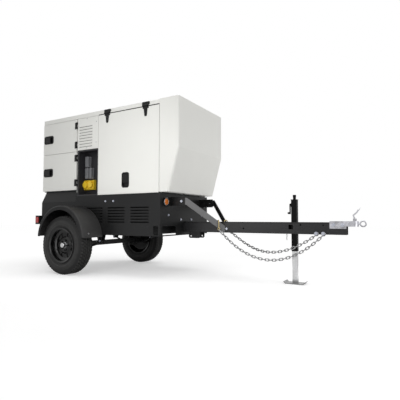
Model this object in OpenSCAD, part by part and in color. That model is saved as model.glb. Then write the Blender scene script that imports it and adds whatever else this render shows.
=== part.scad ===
// Towable diesel generator: a sound-proofed generator set on a single-axle trailer.
// The axle is at x = axle_x, +X points to the hitch, +Y to the left, z = 0 is the ground.

/* [Enclosure] */
// Width across the closed doors
body_w = 1040; // [1000:10:1100]
// Height of the roof above the ground
roof_z = 1980; // [1900:10:2100]
// Axle centre to the rear wall
rear_len = 715; // [690:5:760]
// Axle centre to the front face of the hood
hood_len = 1455; // [1400:5:1550]
// Axle centre to the seam between door and hood
hood_seam = 1205; // [1190:1:1215]
// Height at which the hood's front starts to slope back
hood_break_z = 1425; // [1300:5:1600]
// How far the hood slopes back at its lower edge
hood_slope = 130; // [60:5:160]
// Radius of the hood's front corners
hood_r = 26; // [10:1:40]
// Thickness of folded sheet
sheet = 4; // [3:0.5:5]
// Thickness of doors and fixed panels with their sound lining
panel_t = 24; // [18:1:28]
// Gap round each door
seam = 4; // [3:0.5:6]
// Height of the roof's turned-down lip
lip_h = 58; // [45:1:75]
// Section of the enclosure posts
post = 30; // [24:1:36]
// Axle centre to the front edge of the outlet recess
recess_x = 290; // [270:5:310]
// Axle centre back to the rear doors' hinge line
rear_hinge_x = 80; // [70:5:110]
// Height of the seam between the two rear doors
rear_split_z = 1506; // [1450:5:1560]
// Depth of the outlet recess
recess_d = 150; // [140:2:200]
// Height of the lifting eye above the roof
eye_h = 72; // [60:1:90]
// Radius of the hole in the lifting eye
eye_r = 25; // [20:0.5:28]

/* [Base] */
// Height of the skirt's lower edge
skirt_bottom = 465; // [440:5:480]
// Height of the deck
deck_z = 940; // [930:5:960]
// Axle centre to the front wall
front_wall = 1229; // [1215:1:1240]
// How far the skirt stands outside the doors
skirt_out = 10; // [6:1:20]
// Height at which the rear apron starts to slope in
apron_z = 870; // [840:5:890]
// How far the rear apron slopes in
apron_in = 40; // [20:2:44]
// Height of the rear doors' sill
sill_z = 1016; // [1005:1:1030]
// Width of the frame rails
rail_w = 60; // [50:2:70]
// Height of the frame rails
rail_h = 100; // [80:5:110]
// Pitch of the louvre slots in the skirt
louvre_pitch = 33; // [28:1:38]

/* [Tongue] */
// Axle centre to the tongue's open end
tongue_len = 3043; // [2950:5:3200]
// Width of the tongue tube
tongue_w = 100; // [90:2:110]
// Height of the tongue tube
tongue_h = 120; // [110:2:126]
// Wall of the tongue tube
tongue_wall = 6; // [4:0.5:8]
// Height of the tongue's underside
tongue_z = 503; // [490:1:510]
// Axle centre to the jack
jack_x = 2539; // [2500:1:2600]
// Outside size of the jack's square tube
jack_w = 57; // [52:1:60]
// Wall of the jack's tube
jack_wall = 3; // [2.5:0.5:4]
// Running clearance of the jack's leg
jack_gap = 0.5; // [0.3:0.1:0.8]
// Height of the top of the jack's tube
jack_top = 849; // [820:1:900]
// Side of the jack's foot
foot_l = 220; // [180:5:240]
// Radius of the ball socket
ball_r = 25.9; // [24:0.1:30]

/* [Running gear] */
// Diameter of the tyres
tyre_d = 690; // [670:2:710]
// Width of the tyres
tyre_w = 205; // [185:5:215]
// Diameter of the rim's bead seat
rim_d = 381; // [360:1:390]
// Distance between the wheels' middles
track = 1420; // [1400:5:1460]
// Width of the fenders
fender_w = 308; // [290:2:330]
// Radius of the fender's crown
fender_r = 388; // [384:1:400]
// Axle centre to each spring eye
spring_half = 340; // [320:5:360]
// Width of the leaf springs
spring_w = 45; // [40:1:50]
// Thickness of one leaf
leaf_t = 8; // [6:0.5:9]
// Side of the axle tube
axle_t = 60; // [50:2:64]

/* [Chains] */
// Wire diameter of the chain links
wire_d = 9; // [7:0.5:10]
// Inside length of a link
link_pitch = 36; // [32:1:42]

/* [Fits] */
// Radius of the door hinge pins
pin_r = 4; // [3:0.25:5]
// Radial clearance of pins in their barrels
pin_gap = 0.05; // [0.02:0.01:0.1]

/* [Hidden] */
$fn = 48;

// Paints and finishes
white_paint = "#dcddd8";
black_paint = "#2b2c2e";
black_plastic = "#18191b";
zinc = "#b9bdc1";
rubber = "#222324";
iron = "#5a5d60";

// Enclosure stations
half_w = body_w / 2;
rear_x = -rear_len;
roof_y = half_w - 4;
lip_z = roof_z - lip_h;
door_top = lip_z - seam;
door_bottom = deck_z + seam;
panel_y = half_w - panel_t;
seal = 1;
post_y1 = panel_y - seal;
post_y0 = post_y1 - post;
joint_gap = 0.2;
rear_post_x = rear_x + sheet;
hinge_post_x = -rear_hinge_x - post / 2;
recess_x0 = hinge_post_x + post;
front_post_x = hood_seam - post;
post_xs = [rear_post_x, hinge_post_x, recess_x, front_post_x];
recess_top = rear_split_z + 10;
recess_back = half_w - recess_d;
main_x0 = recess_x + seam / 2;
main_x1 = hood_seam - seam;
rear_door_x1 = -rear_hinge_x - seam;

// Hinges: the pins lie just outside the door faces
barrel_r = 8;
hinge_out = barrel_r + 0.5;
hinge_y = half_w + hinge_out;
hinge_z = lip_z + hinge_out;
strap_xs = [recess_x + 147, main_x1 - 186];
leaf_h = 84;

// Base stations
skirt_y = half_w + skirt_out;
rail_y1 = skirt_y - sheet;
rail_y0 = rail_y1 - rail_w;
rail_x0 = rear_x + sheet;
corner_pocket = 100;
rail_x1 = front_wall - sheet - corner_pocket;
rail_top = skirt_bottom + rail_h;
deck_t = 6;
cross_h = 80;
upright_y = 36;
tongue_root = 700;
cross_xs = [rail_x0 + 30, -100, tongue_root - rail_w];
step_x = -75;
tongue_top = tongue_z + tongue_h;

// Running gear stations
axle_z = tyre_d / 2;
spring_y = rail_y1 - rail_w / 2;
seat_gap = 0.9;
spring_top = axle_z - axle_t / 2 - seat_gap;
eye_z = 392;
spring_rise = eye_z - spring_top;
leaf_r = (spring_half * spring_half + spring_rise * spring_rise) / (2 * spring_rise);
leaf_a = asin(spring_half / leaf_r);
leaf_shares = [1, 0.72, 0.46];
eye_pin_r = 8;
eye_out_r = 18;
wheel_y = track / 2;
spindle_r = 20;

// Overall reach, which puts the origin under the middle of the part
coupler_reach = 171;
lamp_depth = 84;
axle_x = -(tongue_len + coupler_reach - rear_len - lamp_depth) / 2;

module place() translate([axle_x, 0, 0]) children();

module both_sides() {
    children();
    mirror([0, 1, 0]) children();
}

module box(x0, x1, y0, y1, z0, z1) translate([x0, y0, z0]) cube([x1 - x0, y1 - y0, z1 - z0]);

module along_x(x0, x1) translate([x0, 0, 0]) rotate([90, 0, 90]) linear_extrude(x1 - x0) children();

module along_y(y0, y1) translate([0, y1, 0]) rotate([90, 0, 0]) linear_extrude(y1 - y0) children();

module rod_x(x0, x1, y, z, r) translate([x0, y, z]) rotate([0, 90, 0]) cylinder(h = x1 - x0, r = r);

module rod_y(x, y0, y1, z, r) translate([x, y1, z]) rotate([90, 0, 0]) cylinder(h = y1 - y0, r = r);

module rod_z(x, y, z0, z1, r) translate([x, y, z0]) cylinder(h = z1 - z0, r = r);

// A centred rectangle with round corners
module rounded(w, h, r) {
    square([w - 2 * r, h], center = true);
    square([w, h - 2 * r], center = true);
    for (x = [-1, 1], y = [-1, 1]) translate([x * (w / 2 - r), y * (h / 2 - r)]) circle(r);
}

// A hexagon bolt head with its washer; the bolt points along -Y from the face at y = 0
module bolt_head(af) {
    rotate([90, 0, 0]) cylinder(h = af * 0.12, r = af * 0.72);
    translate([0, -af * 0.12, 0]) rotate([90, 0, 0]) cylinder(h = af * 0.5, r = af * 0.577, $fn = 6);
}

// Rows of open slots, centred on x, for a sheet that lies across Y
module slots(x, w, z0, rows, pitch, h, y0, y1) {
    for (i = [0 : rows - 1]) box(x - w / 2, x + w / 2, y0, y1, z0 + i * pitch, z0 + i * pitch + h);
}

// Ladder frame with uprights for the deck and hangers for the springs
module spring_hanger(x) {
    hanger_t = 6;
    for (s = [-1, 1])
        difference() {
            along_y(-spring_y + s * (spring_w / 2 + 4) - hanger_t / 2,
                -spring_y + s * (spring_w / 2 + 4) + hanger_t / 2)
                polygon([[x - 45, skirt_bottom - joint_gap], [x + 45, skirt_bottom - joint_gap],
                         [x + 22, eye_z - 24], [x - 22, eye_z - 24]]);
            rod_y(x, -spring_y - spring_w, -spring_y + spring_w, eye_z, eye_pin_r);
        }
}

module main_frame() color(black_paint) place() {
    both_sides() {
        box(rail_x0, rail_x1, -rail_y1, -rail_y0, skirt_bottom, rail_top);
        for (x = [rear_x + rail_w, recess_x - rail_w / 2, rail_x1 - rail_w])
            box(x, x + rail_w, -rail_y0 - upright_y, -rail_y0, rail_top + joint_gap, deck_z - deck_t);
        for (s = [-1, 1]) spring_hanger(s * spring_half);
        box(rail_x1 - rail_w, rail_x1, -rail_y0 + joint_gap, -tongue_w / 2, rail_top - cross_h, rail_top);
    }
    for (x = cross_xs)
        box(x, x + rail_w, -rail_y0 + joint_gap, rail_y0 - joint_gap, rail_top - cross_h, rail_top);
}

// Tongue tube with the jack's through-hole, drillings and the hanging lug plates
lug_x = 1378;
half_lug = 75;
lug_z = 432;
window_x = jack_x - 29;
window = 46;
module lug_plate() {
    difference() {
        translate([lug_x, 0, 0]) along_y(-tongue_w / 2 - 6, -tongue_w / 2)
            polygon([[-half_lug, tongue_z + 20], [half_lug, tongue_z + 20], [half_lug, lug_z + 14],
                     [half_lug - 14, lug_z], [14 - half_lug, lug_z], [-half_lug, lug_z + 14]]);
        for (s = [-1, 1]) rod_y(lug_x + s * 45, -tongue_w, 0, lug_z + 24, 8);
    }
}

module tongue() color(black_paint) place() {
    difference() {
        box(tongue_root, tongue_len, -tongue_w / 2, tongue_w / 2, tongue_z, tongue_top);
        box(tongue_root - 1, tongue_len + 1, -tongue_w / 2 + tongue_wall, tongue_w / 2 - tongue_wall,
            tongue_z + tongue_wall, tongue_top - tongue_wall);
        box(jack_x - jack_w / 2, jack_x + jack_w / 2, -jack_w / 2, jack_w / 2, tongue_z - 1,
            tongue_top + 1);
        box(window_x - window / 2, window_x + window / 2, -tongue_w, 0, tongue_z + 47,
            tongue_z + 47 + window);
        rod_y(jack_x + 70, -tongue_w, tongue_w, tongue_top - 28, 8);
        rod_y(1991, -tongue_w, tongue_w, tongue_z + 49, 9);
        rod_y(tongue_len - 215, -tongue_w, tongue_w, tongue_top - 30, 7);
    }
    both_sides() lug_plate();
}

// Diagonal braces from the front wall's brackets down to the tongue
bracket_y = 328;
bracket_t = 6;
bracket_end = 1420;
brace_top_z = 850;
brace_h = 75;
brace_x0 = 1349;
brace_x1 = 1442;
brace_foot_x = 1750;
brace_foot_z = tongue_z + tongue_h / 2;
module brace() {
    tab_y = bracket_y + bracket_t / 2;
    difference() {
        box(brace_x0, brace_x1, -tab_y - bracket_t, -tab_y, brace_top_z - brace_h / 2,
            brace_top_z + brace_h / 2);
        rod_y((brace_x0 + bracket_end) / 2 - 7, -tab_y - 20, -tab_y + 20, brace_top_z, 7);
    }
    hull() {
        box(brace_x1 - 10, brace_x1, -tab_y - bracket_t, -tab_y, brace_top_z - brace_h / 2,
            brace_top_z + brace_h / 2);
        box(brace_foot_x + 7, brace_foot_x + 21, -tongue_w / 2 - 4, -tongue_w / 2, tongue_z + 4,
            brace_foot_z + 14);
    }
}

module tongue_braces() color(black_paint) place() both_sides() brace();

// Black skirt: side sheets with louvres, the rear sheet, and the apron that slopes in under the rear doors
skirt_x1 = front_wall - sheet;
louvre_w = 260;
louvre_xs = [255, 598, 944];
louvre_z0 = 612;
louvre_rows = 6;
louvre_h = 13;
tie_x0 = front_wall - 94;
tie_x1 = front_wall - 29;
tie_z0 = skirt_bottom + 13;
tie_z1 = skirt_bottom + 110;
module apron_loop(z, inset, wall) {
    box(rear_x + inset + wall, step_x, -skirt_y + inset + wall, skirt_y - inset - wall, z, z + 0.01);
}

apron_top = sill_z - deck_t - joint_gap;
module apron(wall, over) hull() {
    apron_loop(apron_z - over, -apron_in * over / (apron_top - apron_z), wall);
    apron_loop(apron_top + over, apron_in * (1 + over / (apron_top - apron_z)), wall);
}

module skirt_side() {
    difference() {
        along_y(-skirt_y, -skirt_y + sheet)
            polygon([[rear_x, skirt_bottom], [skirt_x1, skirt_bottom], [skirt_x1, deck_z], [step_x, deck_z],
                     [step_x, apron_z - joint_gap], [rear_x, apron_z - joint_gap]]);
        for (x = louvre_xs)
            slots(x, louvre_w, louvre_z0, louvre_rows, louvre_pitch, louvre_h, -skirt_y - 1,
                -skirt_y + sheet + 1);
        box(tie_x0, tie_x1, -skirt_y - 1, -skirt_y + sheet + 1, tie_z0, tie_z1);
    }
    box(step_x, step_x + sheet, -skirt_y + sheet, -skirt_y + sheet + 14, apron_z + 40, deck_z);
}

module skirt_panels() color(black_paint) place() {
    both_sides() skirt_side();
    box(rear_x, rear_x + sheet, -rail_y1 + joint_gap, rail_y1 - joint_gap, skirt_bottom,
        apron_z - joint_gap);
    difference() {
        apron(0, 0);
        apron(sheet, 1);
        both_sides() box(rear_x - 1, rear_x + apron_in + 10, -post_y0, -post_y0 + joint_gap, apron_z - 1,
            sill_z);
        box(step_x - sheet, step_x + 1, -skirt_y, skirt_y, apron_z - 1, sill_z);
        box(hinge_post_x - seal, step_x + 1, -post_y1 - seal, post_y1 + seal, deck_z, sill_z);
    }
}

// Front wall with the tongue's opening, tie-down slots, lamp holes and brace brackets
marker_y = 431;
marker_z = 845;
marker_r = 37;
module skirt_front() color(black_paint) place() {
    difference() {
        box(front_wall - sheet, front_wall, -skirt_y, skirt_y, skirt_bottom, deck_z);
        box(front_wall - sheet - 1, front_wall + 1, -tongue_w / 2, tongue_w / 2, tongue_z, tongue_top);
        both_sides() {
            box(front_wall - sheet - 1, front_wall + 1, -skirt_y + 40, -222, tie_z0, tie_z1);
            rod_x(front_wall - sheet - 1, front_wall + 1, -marker_y, marker_z, marker_r);
        }
    }
    both_sides() difference() {
        box(front_wall, bracket_end, -bracket_y - bracket_t / 2, -bracket_y + bracket_t / 2,
            brace_top_z - 50, brace_top_z + 50);
        rod_y((brace_x0 + bracket_end) / 2 - 7, -bracket_y - 20, -bracket_y + 20, brace_top_z, 7);
    }
}

module floor_deck() color(black_paint) place() {
    box(rear_x + 30, hood_seam, -post_y1 - 10, post_y1 + 10, deck_z - deck_t, deck_z);
    box(rear_x + sheet, hinge_post_x, -post_y1, post_y1, sill_z - deck_t, sill_z);
    both_sides() for (x = [rear_x + 50, hinge_post_x - 2 * post])
        box(x, x + post, -post_y0, -post_y0 + 20, deck_z, apron_top);
}

module fuel_tank() color(black_plastic) place() {
    tank_x0 = rear_x + 125;
    tank_x1 = front_wall - 79;
    tank_top = deck_z - 60;
    step_z = tongue_top + 18;
    along_y(-rail_y0 + 36, rail_y0 - 36)
        polygon([[tank_x0, rail_top], [cross_xs[2], rail_top], [cross_xs[2], step_z], [tank_x1, step_z],
                 [tank_x1, tank_top], [tank_x0, tank_top]]);
}

// White roof with turned-down lips on both sides and at the rear
eye_x = recess_x + post / 2;
eye_w = 84;
eye_t = 16;
roof_r = 12;
module roof_section(inset) {
    y = roof_y - inset;
    top = roof_z - inset;
    translate([-y, lip_z - inset]) square([2 * y, top - roof_r - lip_z + inset]);
    translate([-y + roof_r, lip_z - inset]) square([2 * (y - roof_r), top - lip_z + inset]);
    for (s = [-1, 1]) translate([s * (y - roof_r), top - roof_r]) circle(roof_r);
}

module roof_cap() color(white_paint) place() difference() {
    along_x(rear_x, hood_seam) roof_section(0);
    along_x(rear_x + sheet, hood_seam + 1) roof_section(sheet);
    box(eye_x - eye_w / 2, eye_x + eye_w / 2, -eye_t / 2, eye_t / 2, lip_z, roof_z + 1);
}

// Posts of the enclosure, with the lifting beam and its eye over the middle pair
module enclosure_posts() color(white_paint) place() {
    roof_under = roof_z - sheet;
    both_sides() for (x = post_xs)
        box(x, x + post, -post_y1, -post_y0, x == rear_post_x ? sill_z : deck_z, roof_under);
    box(recess_x, recess_x + post, -post_y0 + joint_gap, post_y0 - joint_gap, roof_under - 50, roof_under);
    difference() {
        union() {
            box(eye_x - eye_w / 2, eye_x + eye_w / 2, -eye_t / 2, eye_t / 2, roof_under - 50,
                roof_z + eye_h - eye_w / 2);
            rod_y(eye_x, -eye_t / 2, eye_t / 2, roof_z + eye_h - eye_w / 2, eye_w / 2);
        }
        rod_y(eye_x, -eye_t, eye_t, roof_z + eye_h - eye_w / 2, eye_r);
    }
}

// Front hood: a folded shell that leans back below the break, open to the radiator behind
hood_floor = deck_z + 10;
hood_slot_start = 60;
hood_slot_pitch = 18;
hood_slot_w = 8;
hood_slots = floor((hood_len - hood_seam - hood_slot_start - hood_r) / hood_slot_pitch);
hood_rise = hood_break_z - hood_floor;
hood_lean = atan(hood_slope / hood_rise);
module hood_plan(grow, x0, r) {
    translate([x0, -half_w - grow]) square([hood_len - r - x0, 2 * (half_w + grow)]);
    translate([x0, r - half_w]) square([hood_len + grow - x0, 2 * (half_w - r)]);
    for (s = [-1, 1]) translate([hood_len - r, s * (half_w - r)]) circle(r + grow);
}

// The hood fills what an upright and a leaning prism have in common
module hood_form(grow) intersection() {
    translate([0, 0, hood_floor - grow]) linear_extrude(roof_z - hood_floor + 2 * grow)
        hood_plan(grow, hood_seam, hood_r);
    translate([hood_len, 0, hood_break_z]) rotate([0, hood_lean, 0])
        translate([-hood_len, 0, -2 * hood_rise]) linear_extrude(2 * roof_z) hood_plan(grow, 0, hood_r + 4);
}

module front_hood() color(white_paint) place() difference() {
    hood_form(0);
    intersection() {
        hood_form(-sheet);
        box(hood_seam + sheet, hood_len, -body_w, body_w, hood_floor, roof_z);
    }
    box(hood_seam - 1, hood_seam + 2 * sheet, -post_y0, post_y0, hood_floor + sheet, roof_z - sheet);
    for (i = [0 : hood_slots - 1])
        translate([hood_seam + hood_slot_start + i * hood_slot_pitch, 0, 0])
            box(0, hood_slot_w, -post_y0 + 60, post_y0 - 60, roof_z - 2 * sheet, roof_z + 1);
}

// Rear wall between the doors, with two banks of intake slots
module rear_wall() color(white_paint) place() difference() {
    box(rear_x, rear_x + sheet, -panel_y + 2, panel_y - 2, sill_z, lip_z);
    for (y = [-1, 1], i = [0 : 9])
        box(rear_x - 1, rear_x + sheet + 1, y * 220 - 150, y * 220 + 150, 1150 + i * 40, 1164 + i * 40);
}

// Fixed side panels: the louvred panel over the outlets, and the left rear panel
vent_w = 228;
vent_rows = 8;
vent_pitch = 36;
module vent_hood(x, w, z) translate([0, -half_w, 0])
    along_x(x - w / 2, x + w / 2) polygon([[0, z], [-6, z + 2], [0, z + 16]]);

module vent_panels() color(white_paint) place() {
    vent_x = (recess_x0 + recess_x) / 2 - 33;
    box(recess_x0, recess_x - seam / 2, -half_w, -post_y1, recess_top + 2, door_top);
    for (i = [0 : vent_rows - 1]) vent_hood(vent_x, vent_w, recess_top + 40 + i * vent_pitch);
    mirror([0, 1, 0]) {
        box(rear_x, recess_x - seam / 2, -half_w, -post_y1, sill_z + seam, door_top);
        for (x = [-470, -170, 130], i = [0 : vent_rows - 1])
            vent_hood(x, vent_w, recess_top + 40 + i * vent_pitch);
        box(step_x, recess_x - seam / 2, -half_w, -post_y1, deck_z, sill_z);
    }
}

// Outlet recess: a dark lined box, open to the side
module receptacle_box() color(black_plastic) place() difference() {
    box(recess_x0, recess_x, -roof_y, -recess_back + sheet, deck_z, recess_top);
    box(recess_x0 + sheet, recess_x - sheet, -roof_y - 1, -recess_back, deck_z + sheet, recess_top - sheet);
}

// Duplex outlets under grey weather covers
cover_a_x = -8;
cover_b_x = cover_a_x + 60;
cover_h = 136;
cover_z = [1236, 1383];
module weather_cover(x, z, w, d) {
    translate([x, 0, z]) along_y(-recess_back - d, -recess_back - 10) rounded(w, cover_h, 8);
    translate([x, 0, z]) along_y(-recess_back - 10, -recess_back) rounded(w + 8, cover_h + 6, 6);
    for (s = [-1, 1]) translate([x, 0, z + s * cover_h / 4])
        along_y(-recess_back - d - 3, -recess_back - d) rounded(w - 14, cover_h / 2 - 12, 5);
}

module duplex_outlets() color("#8d9196") place() {
    for (z = cover_z) weather_cover(cover_a_x, z, 60, 46);
    weather_cover(cover_b_x, cover_z[0], 36, 40);
}

// Yellow twist-lock sockets: a slanted box, a round collar and the hinge ears of the lid
socket_z = 1085;
socket_r = 35;
socket_y = recess_back + 62;
lid_pin_r = 2.5;
lid_z = socket_z + socket_r + 7;
module twist_lock(x) {
    difference() {
        union() {
            translate([0, 0, socket_z]) along_x(x - 42, x + 42)
                polygon([[-recess_back, -62], [-recess_back - 30, -62], [-recess_back - 42, -50],
                         [-recess_back - 42, 50], [-recess_back - 30, 62], [-recess_back, 62]]);
            rod_y(x, -socket_y, -recess_back - 42, socket_z, socket_r);
            for (s = [-1, 1]) box(x + s * 19 - 4, x + s * 19 + 4, -socket_y, -recess_back - 42,
                socket_z + 20, lid_z);
            for (s = [-1, 1]) rod_x(x + s * 19 - 4, x + s * 19 + 4, -socket_y + 4, lid_z, 4);
        }
        rod_y(x, -socket_y - 1, -socket_y + 4, socket_z, socket_r - 5);
        rod_x(x - 30, x + 30, -socket_y + 4, lid_z, lid_pin_r);
        for (a = [0 : 120 : 240]) translate([x, 0, socket_z]) rotate([0, a, 0])
            box(-2, 2, -socket_y + 3, -socket_y + 20, 12, 22);
    }
    rod_x(x - 23, x + 23, -socket_y + 4, lid_z, lid_pin_r - pin_gap);
}

socket_xs = [cover_a_x - 8, cover_a_x + 80];
module twist_lock_sockets() color("#e8b821") place() for (x = socket_xs) twist_lock(x);

module socket_lid(x) difference() {
    union() {
        rod_y(x, -socket_y - 8, -socket_y - 0.5, socket_z, socket_r + 2);
        box(x - 14, x + 14, -socket_y - 8, -socket_y - 0.5, socket_z, lid_z);
        box(x - 14, x + 14, -socket_y - 8, -socket_y + 4, lid_z - 3, lid_z + 4.5);
        rod_x(x - 14, x + 14, -socket_y + 4, lid_z, 4.5);
        box(x - 9, x + 9, -socket_y - 16, -socket_y - 7, socket_z - socket_r - 2, socket_z - socket_r + 6);
    }
    rod_x(x - 15, x + 15, -socket_y + 4, lid_z, lid_pin_r);
}

module socket_lid_front() color("#e8b821") place() socket_lid(socket_xs[1]);

module socket_lid_rear() color("#e8b821") place() socket_lid(socket_xs[0]);

// Control panel behind the upper rear door and output lugs behind the lower one
panel_face = post_y1 - 95;
control_x0 = rear_post_x + post;
stop_x = control_x0 + 470;
stop_z = rear_split_z + 130;
stop_r = 8;
lug_xs = [for (i = [0 : 4]) control_x0 + 110 + i * 92];
lug_line_z = 1260;
module control_panel() color("#6f7477") place() {
    difference() {
        box(control_x0, hinge_post_x, -post_y1 + 5, -panel_face + 3, sill_z, lip_z);
        box(control_x0 + 3, hinge_post_x - 3, -post_y1 + 4, -panel_face, rear_split_z + 12, lip_z - 10);
        box(control_x0 + 3, hinge_post_x - 3, -post_y1 + 4, -panel_face, sill_z + 4, rear_split_z - 12);
        rod_y(stop_x, -panel_face - 1, -panel_face + 4, stop_z, stop_r + pin_gap);
    }
    translate([control_x0 + 300, 0, lip_z - 186]) along_y(-panel_face - 14, -panel_face)
        rounded(210, 130, 10);
    for (i = [0 : 4]) rod_y(control_x0 + 210 + i * 45, -panel_face - 9, -panel_face, rear_split_z + 110,
        12);
    for (i = [0 : 2]) rod_y(control_x0 + 90, -panel_face - 12, -panel_face, lip_z - 201 + i * 62, 24);
    translate([control_x0 + 300, 0, rear_split_z - 86])
        along_y(-panel_face - 40, -panel_face) rounded(170, 110, 8);
    for (x = lug_xs) {
        translate([x, 0, lug_line_z]) along_y(-panel_face - 10, -panel_face) rounded(62, 90, 6);
        rod_y(x, -panel_face - 44, -panel_face - 10, lug_line_z, 8);
        translate([x, -panel_face - 10, lug_line_z]) rotate([90, 0, 0]) cylinder(h = 14, r = 17, $fn = 6);
    }
}

module stop_button() color("#b3201c") place() {
    rod_y(stop_x, -panel_face - 10, -panel_face + 10, stop_z, stop_r);
    rod_y(stop_x, -panel_face - 24, -panel_face - 10, stop_z, 20);
}

// Diesel engine on its feet, with manifolds, covers and the fan's bearing
engine_x0 = 470;
engine_x1 = 960;
crank_z = deck_z + 210;
block_y = 170;
block_z0 = crank_z - 140;
block_z1 = crank_z + 180;
fan_z = block_z1;
fan_x = 1040;
fan_shaft_r = 12;
head_z = block_z1 + 110;
exhaust_y = -190;
alternator_r = 205;
module engine() color(iron) place() {
    box(engine_x0, engine_x1, -block_y, block_y, block_z0, block_z1);
    for (i = [0 : 6]) both_sides() box(engine_x0 + 30 + i * 66, engine_x0 + 44 + i * 66, -block_y - 8,
        -block_y, block_z0 + 30, block_z1 - 30);
    along_x(engine_x0 + 20, engine_x1 - 20)
        polygon([[-140, block_z0], [-120, block_z0 - 50], [120, block_z0 - 50], [140, block_z0]]);
    box(engine_x0 + 10, engine_x1 - 10, -120, 130, block_z1, head_z);
    translate([0, 0, head_z + 25]) along_x(engine_x0 + 20, engine_x1 - 20) rounded(200, 90, 22);
    for (i = [0 : 3]) rod_z(engine_x0 + 85 + i * 107, 0, head_z + 60, head_z + 82, 14);
    rod_x(engine_x0 - 40, engine_x0, 0, crank_z, alternator_r);
    box(engine_x1, engine_x1 + 25, -150, 150, block_z0 + 10, block_z1);
    rod_x(engine_x1 + 25, engine_x1 + 50, 0, crank_z - 30, 80);
    rod_x(engine_x1 + 25, fan_x - 20, 0, fan_z - 60, 45);
    rod_x(engine_x1 + 10, fan_x, 0, fan_z, 26);
    rod_x(fan_x, fan_x + 44, 0, fan_z, fan_shaft_r);
    rod_x(engine_x0 + 50, engine_x1 - 50, exhaust_y, head_z - 40, 32);
    for (i = [0 : 3]) rod_y(engine_x0 + 85 + i * 107, exhaust_y, -110, head_z - 40, 22);
    rod_x(engine_x0 + 40, engine_x1 - 40, 200, head_z - 50, 40);
    for (i = [0 : 3]) rod_y(engine_x0 + 85 + i * 107, 120, 200, head_z - 50, 24);
    rod_y(engine_x0 + 120, 160, 250, crank_z - 30, 48);
    rod_x(engine_x1 - 150, engine_x1 + 10, -215, crank_z + 70, 62);
    box(engine_x1 - 130, engine_x1 - 30, -215, -165, crank_z + 50, crank_z + 90);
    both_sides() for (x = [engine_x0 + 30, engine_x1 - 110])
        box(x, x + 80, -200, -120, deck_z, block_z0 + 2);
}

// Alternator bolted to the engine's flywheel housing
alternator_x0 = -30;
module alternator() color("#3e5f78") place() {
    difference() {
        rod_x(alternator_x0 + 60, engine_x0 - 40, 0, crank_z, alternator_r);
        for (a = [0 : 15 : 345]) translate([0, 0, crank_z]) rotate([a, 0, 0])
            box(alternator_x0 + 120, engine_x0 - 120, alternator_r - 8, alternator_r + 8, -7, 7);
    }
    rod_x(alternator_x0, alternator_x0 + 60, 0, crank_z, alternator_r - 35);
    rod_x(alternator_x0 - 20, alternator_x0, 0, crank_z, 60);
    box(alternator_x0 + 90, alternator_x0 + 330, -130, 130, crank_z + 150, crank_z + 330);
    both_sides() box(alternator_x0 + 100, alternator_x0 + 360, -190, -110, deck_z, crank_z - 120);
}

// Radiator with its tanks and finned core
radiator_x = 1110;
radiator_t = 58;
radiator_y = 430;
radiator_top = roof_z - 240;
module radiator() color("#303336") place() {
    fins = 24;
    fin_pitch = (radiator_top - 80 - deck_z - 60) / fins;
    box(radiator_x + 8, radiator_x + radiator_t - 8, -radiator_y + 30, radiator_y - 30, deck_z + 60,
        radiator_top - 80);
    for (i = [1 : fins - 1]) box(radiator_x, radiator_x + radiator_t, -radiator_y + 30, radiator_y - 30,
                                 deck_z + 58 + i * fin_pitch, deck_z + 62 + i * fin_pitch);
    both_sides() box(radiator_x - 6, radiator_x + radiator_t + 6, -radiator_y, -radiator_y + 30, deck_z,
        radiator_top - 80);
    box(radiator_x, radiator_x + radiator_t, -radiator_y + 30, radiator_y - 30, deck_z, deck_z + 60);
    translate([radiator_x + radiator_t / 2, 0, radiator_top - 40]) along_y(-radiator_y, radiator_y)
        rounded(radiator_t + 12, 80, 20);
    rod_z(radiator_x + radiator_t / 2, 0, radiator_top - 5, radiator_top + 22, 24);
}

// Cooling fan on the bearing's shaft
module fan() color(black_plastic) place() translate([fan_x, 0, fan_z]) rotate([0, 90, 0]) {
    difference() {
        translate([0, 0, 2]) cylinder(h = 36, r = 62);
        translate([0, 0, -1]) cylinder(h = 60, r = fan_shaft_r + pin_gap);
    }
    for (i = [0 : 6]) rotate([0, 0, i * 360 / 7]) translate([58, 0, 20]) rotate([28, 0, 0])
        translate([0, -42, -2]) cube([200, 84, 4]);
}

// Exhaust silencer over the engine, with its pipes
muffler_z = roof_z - 140;
muffler_r = 85;
module muffler() color("#8b8782") place() {
    pipe_x = engine_x0 + 245;
    outlet_x = (hood_seam + hood_len) / 2;
    rod_x(pipe_x - 170, pipe_x + 250, exhaust_y, muffler_z, muffler_r);
    rod_x(pipe_x - 182, pipe_x + 262, exhaust_y, muffler_z, muffler_r - 14);
    rod_z(pipe_x, exhaust_y, head_z - 8, muffler_z - muffler_r + 20, 26);
    rod_x(pipe_x + 250, outlet_x, exhaust_y, muffler_z, 26);
    rod_z(outlet_x, exhaust_y, muffler_z, roof_z - 60, 26);
}

module air_cleaner() color(black_plastic) place() {
    clean_x = engine_x0 + 120;
    clean_y = 216;
    clean_z = head_z + 100;
    rod_x(clean_x, clean_x + 240, clean_y, clean_z, 80);
    rod_x(clean_x + 240, clean_x + 290, clean_y, clean_z, 66);
    rod_x(clean_x - 30, clean_x, clean_y, clean_z, 40);
    box(clean_x + 60, clean_x + 180, 104, 128, head_z, clean_z + 20);
    box(clean_x + 60, clean_x + 180, 104, 150, clean_z - 10, clean_z + 10);
}

battery_x = -600;
battery_y = 160;
battery_l = 270;
battery_w = 170;
battery_h = 190;
battery_lid = 25;
battery_rim = 6;
battery_pole = 40;
module battery() color(black_plastic) place() translate([battery_x, battery_y, sill_z]) {
    cube([battery_l, battery_w, battery_h]);
    translate([-battery_rim, -battery_rim, battery_h])
        cube([battery_l + 2 * battery_rim, battery_w + 2 * battery_rim, battery_lid]);
    for (x = [battery_pole, battery_l - battery_pole])
        rod_z(x, battery_pole, battery_h + battery_lid, battery_h + battery_lid + 17, 9);
}

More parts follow.
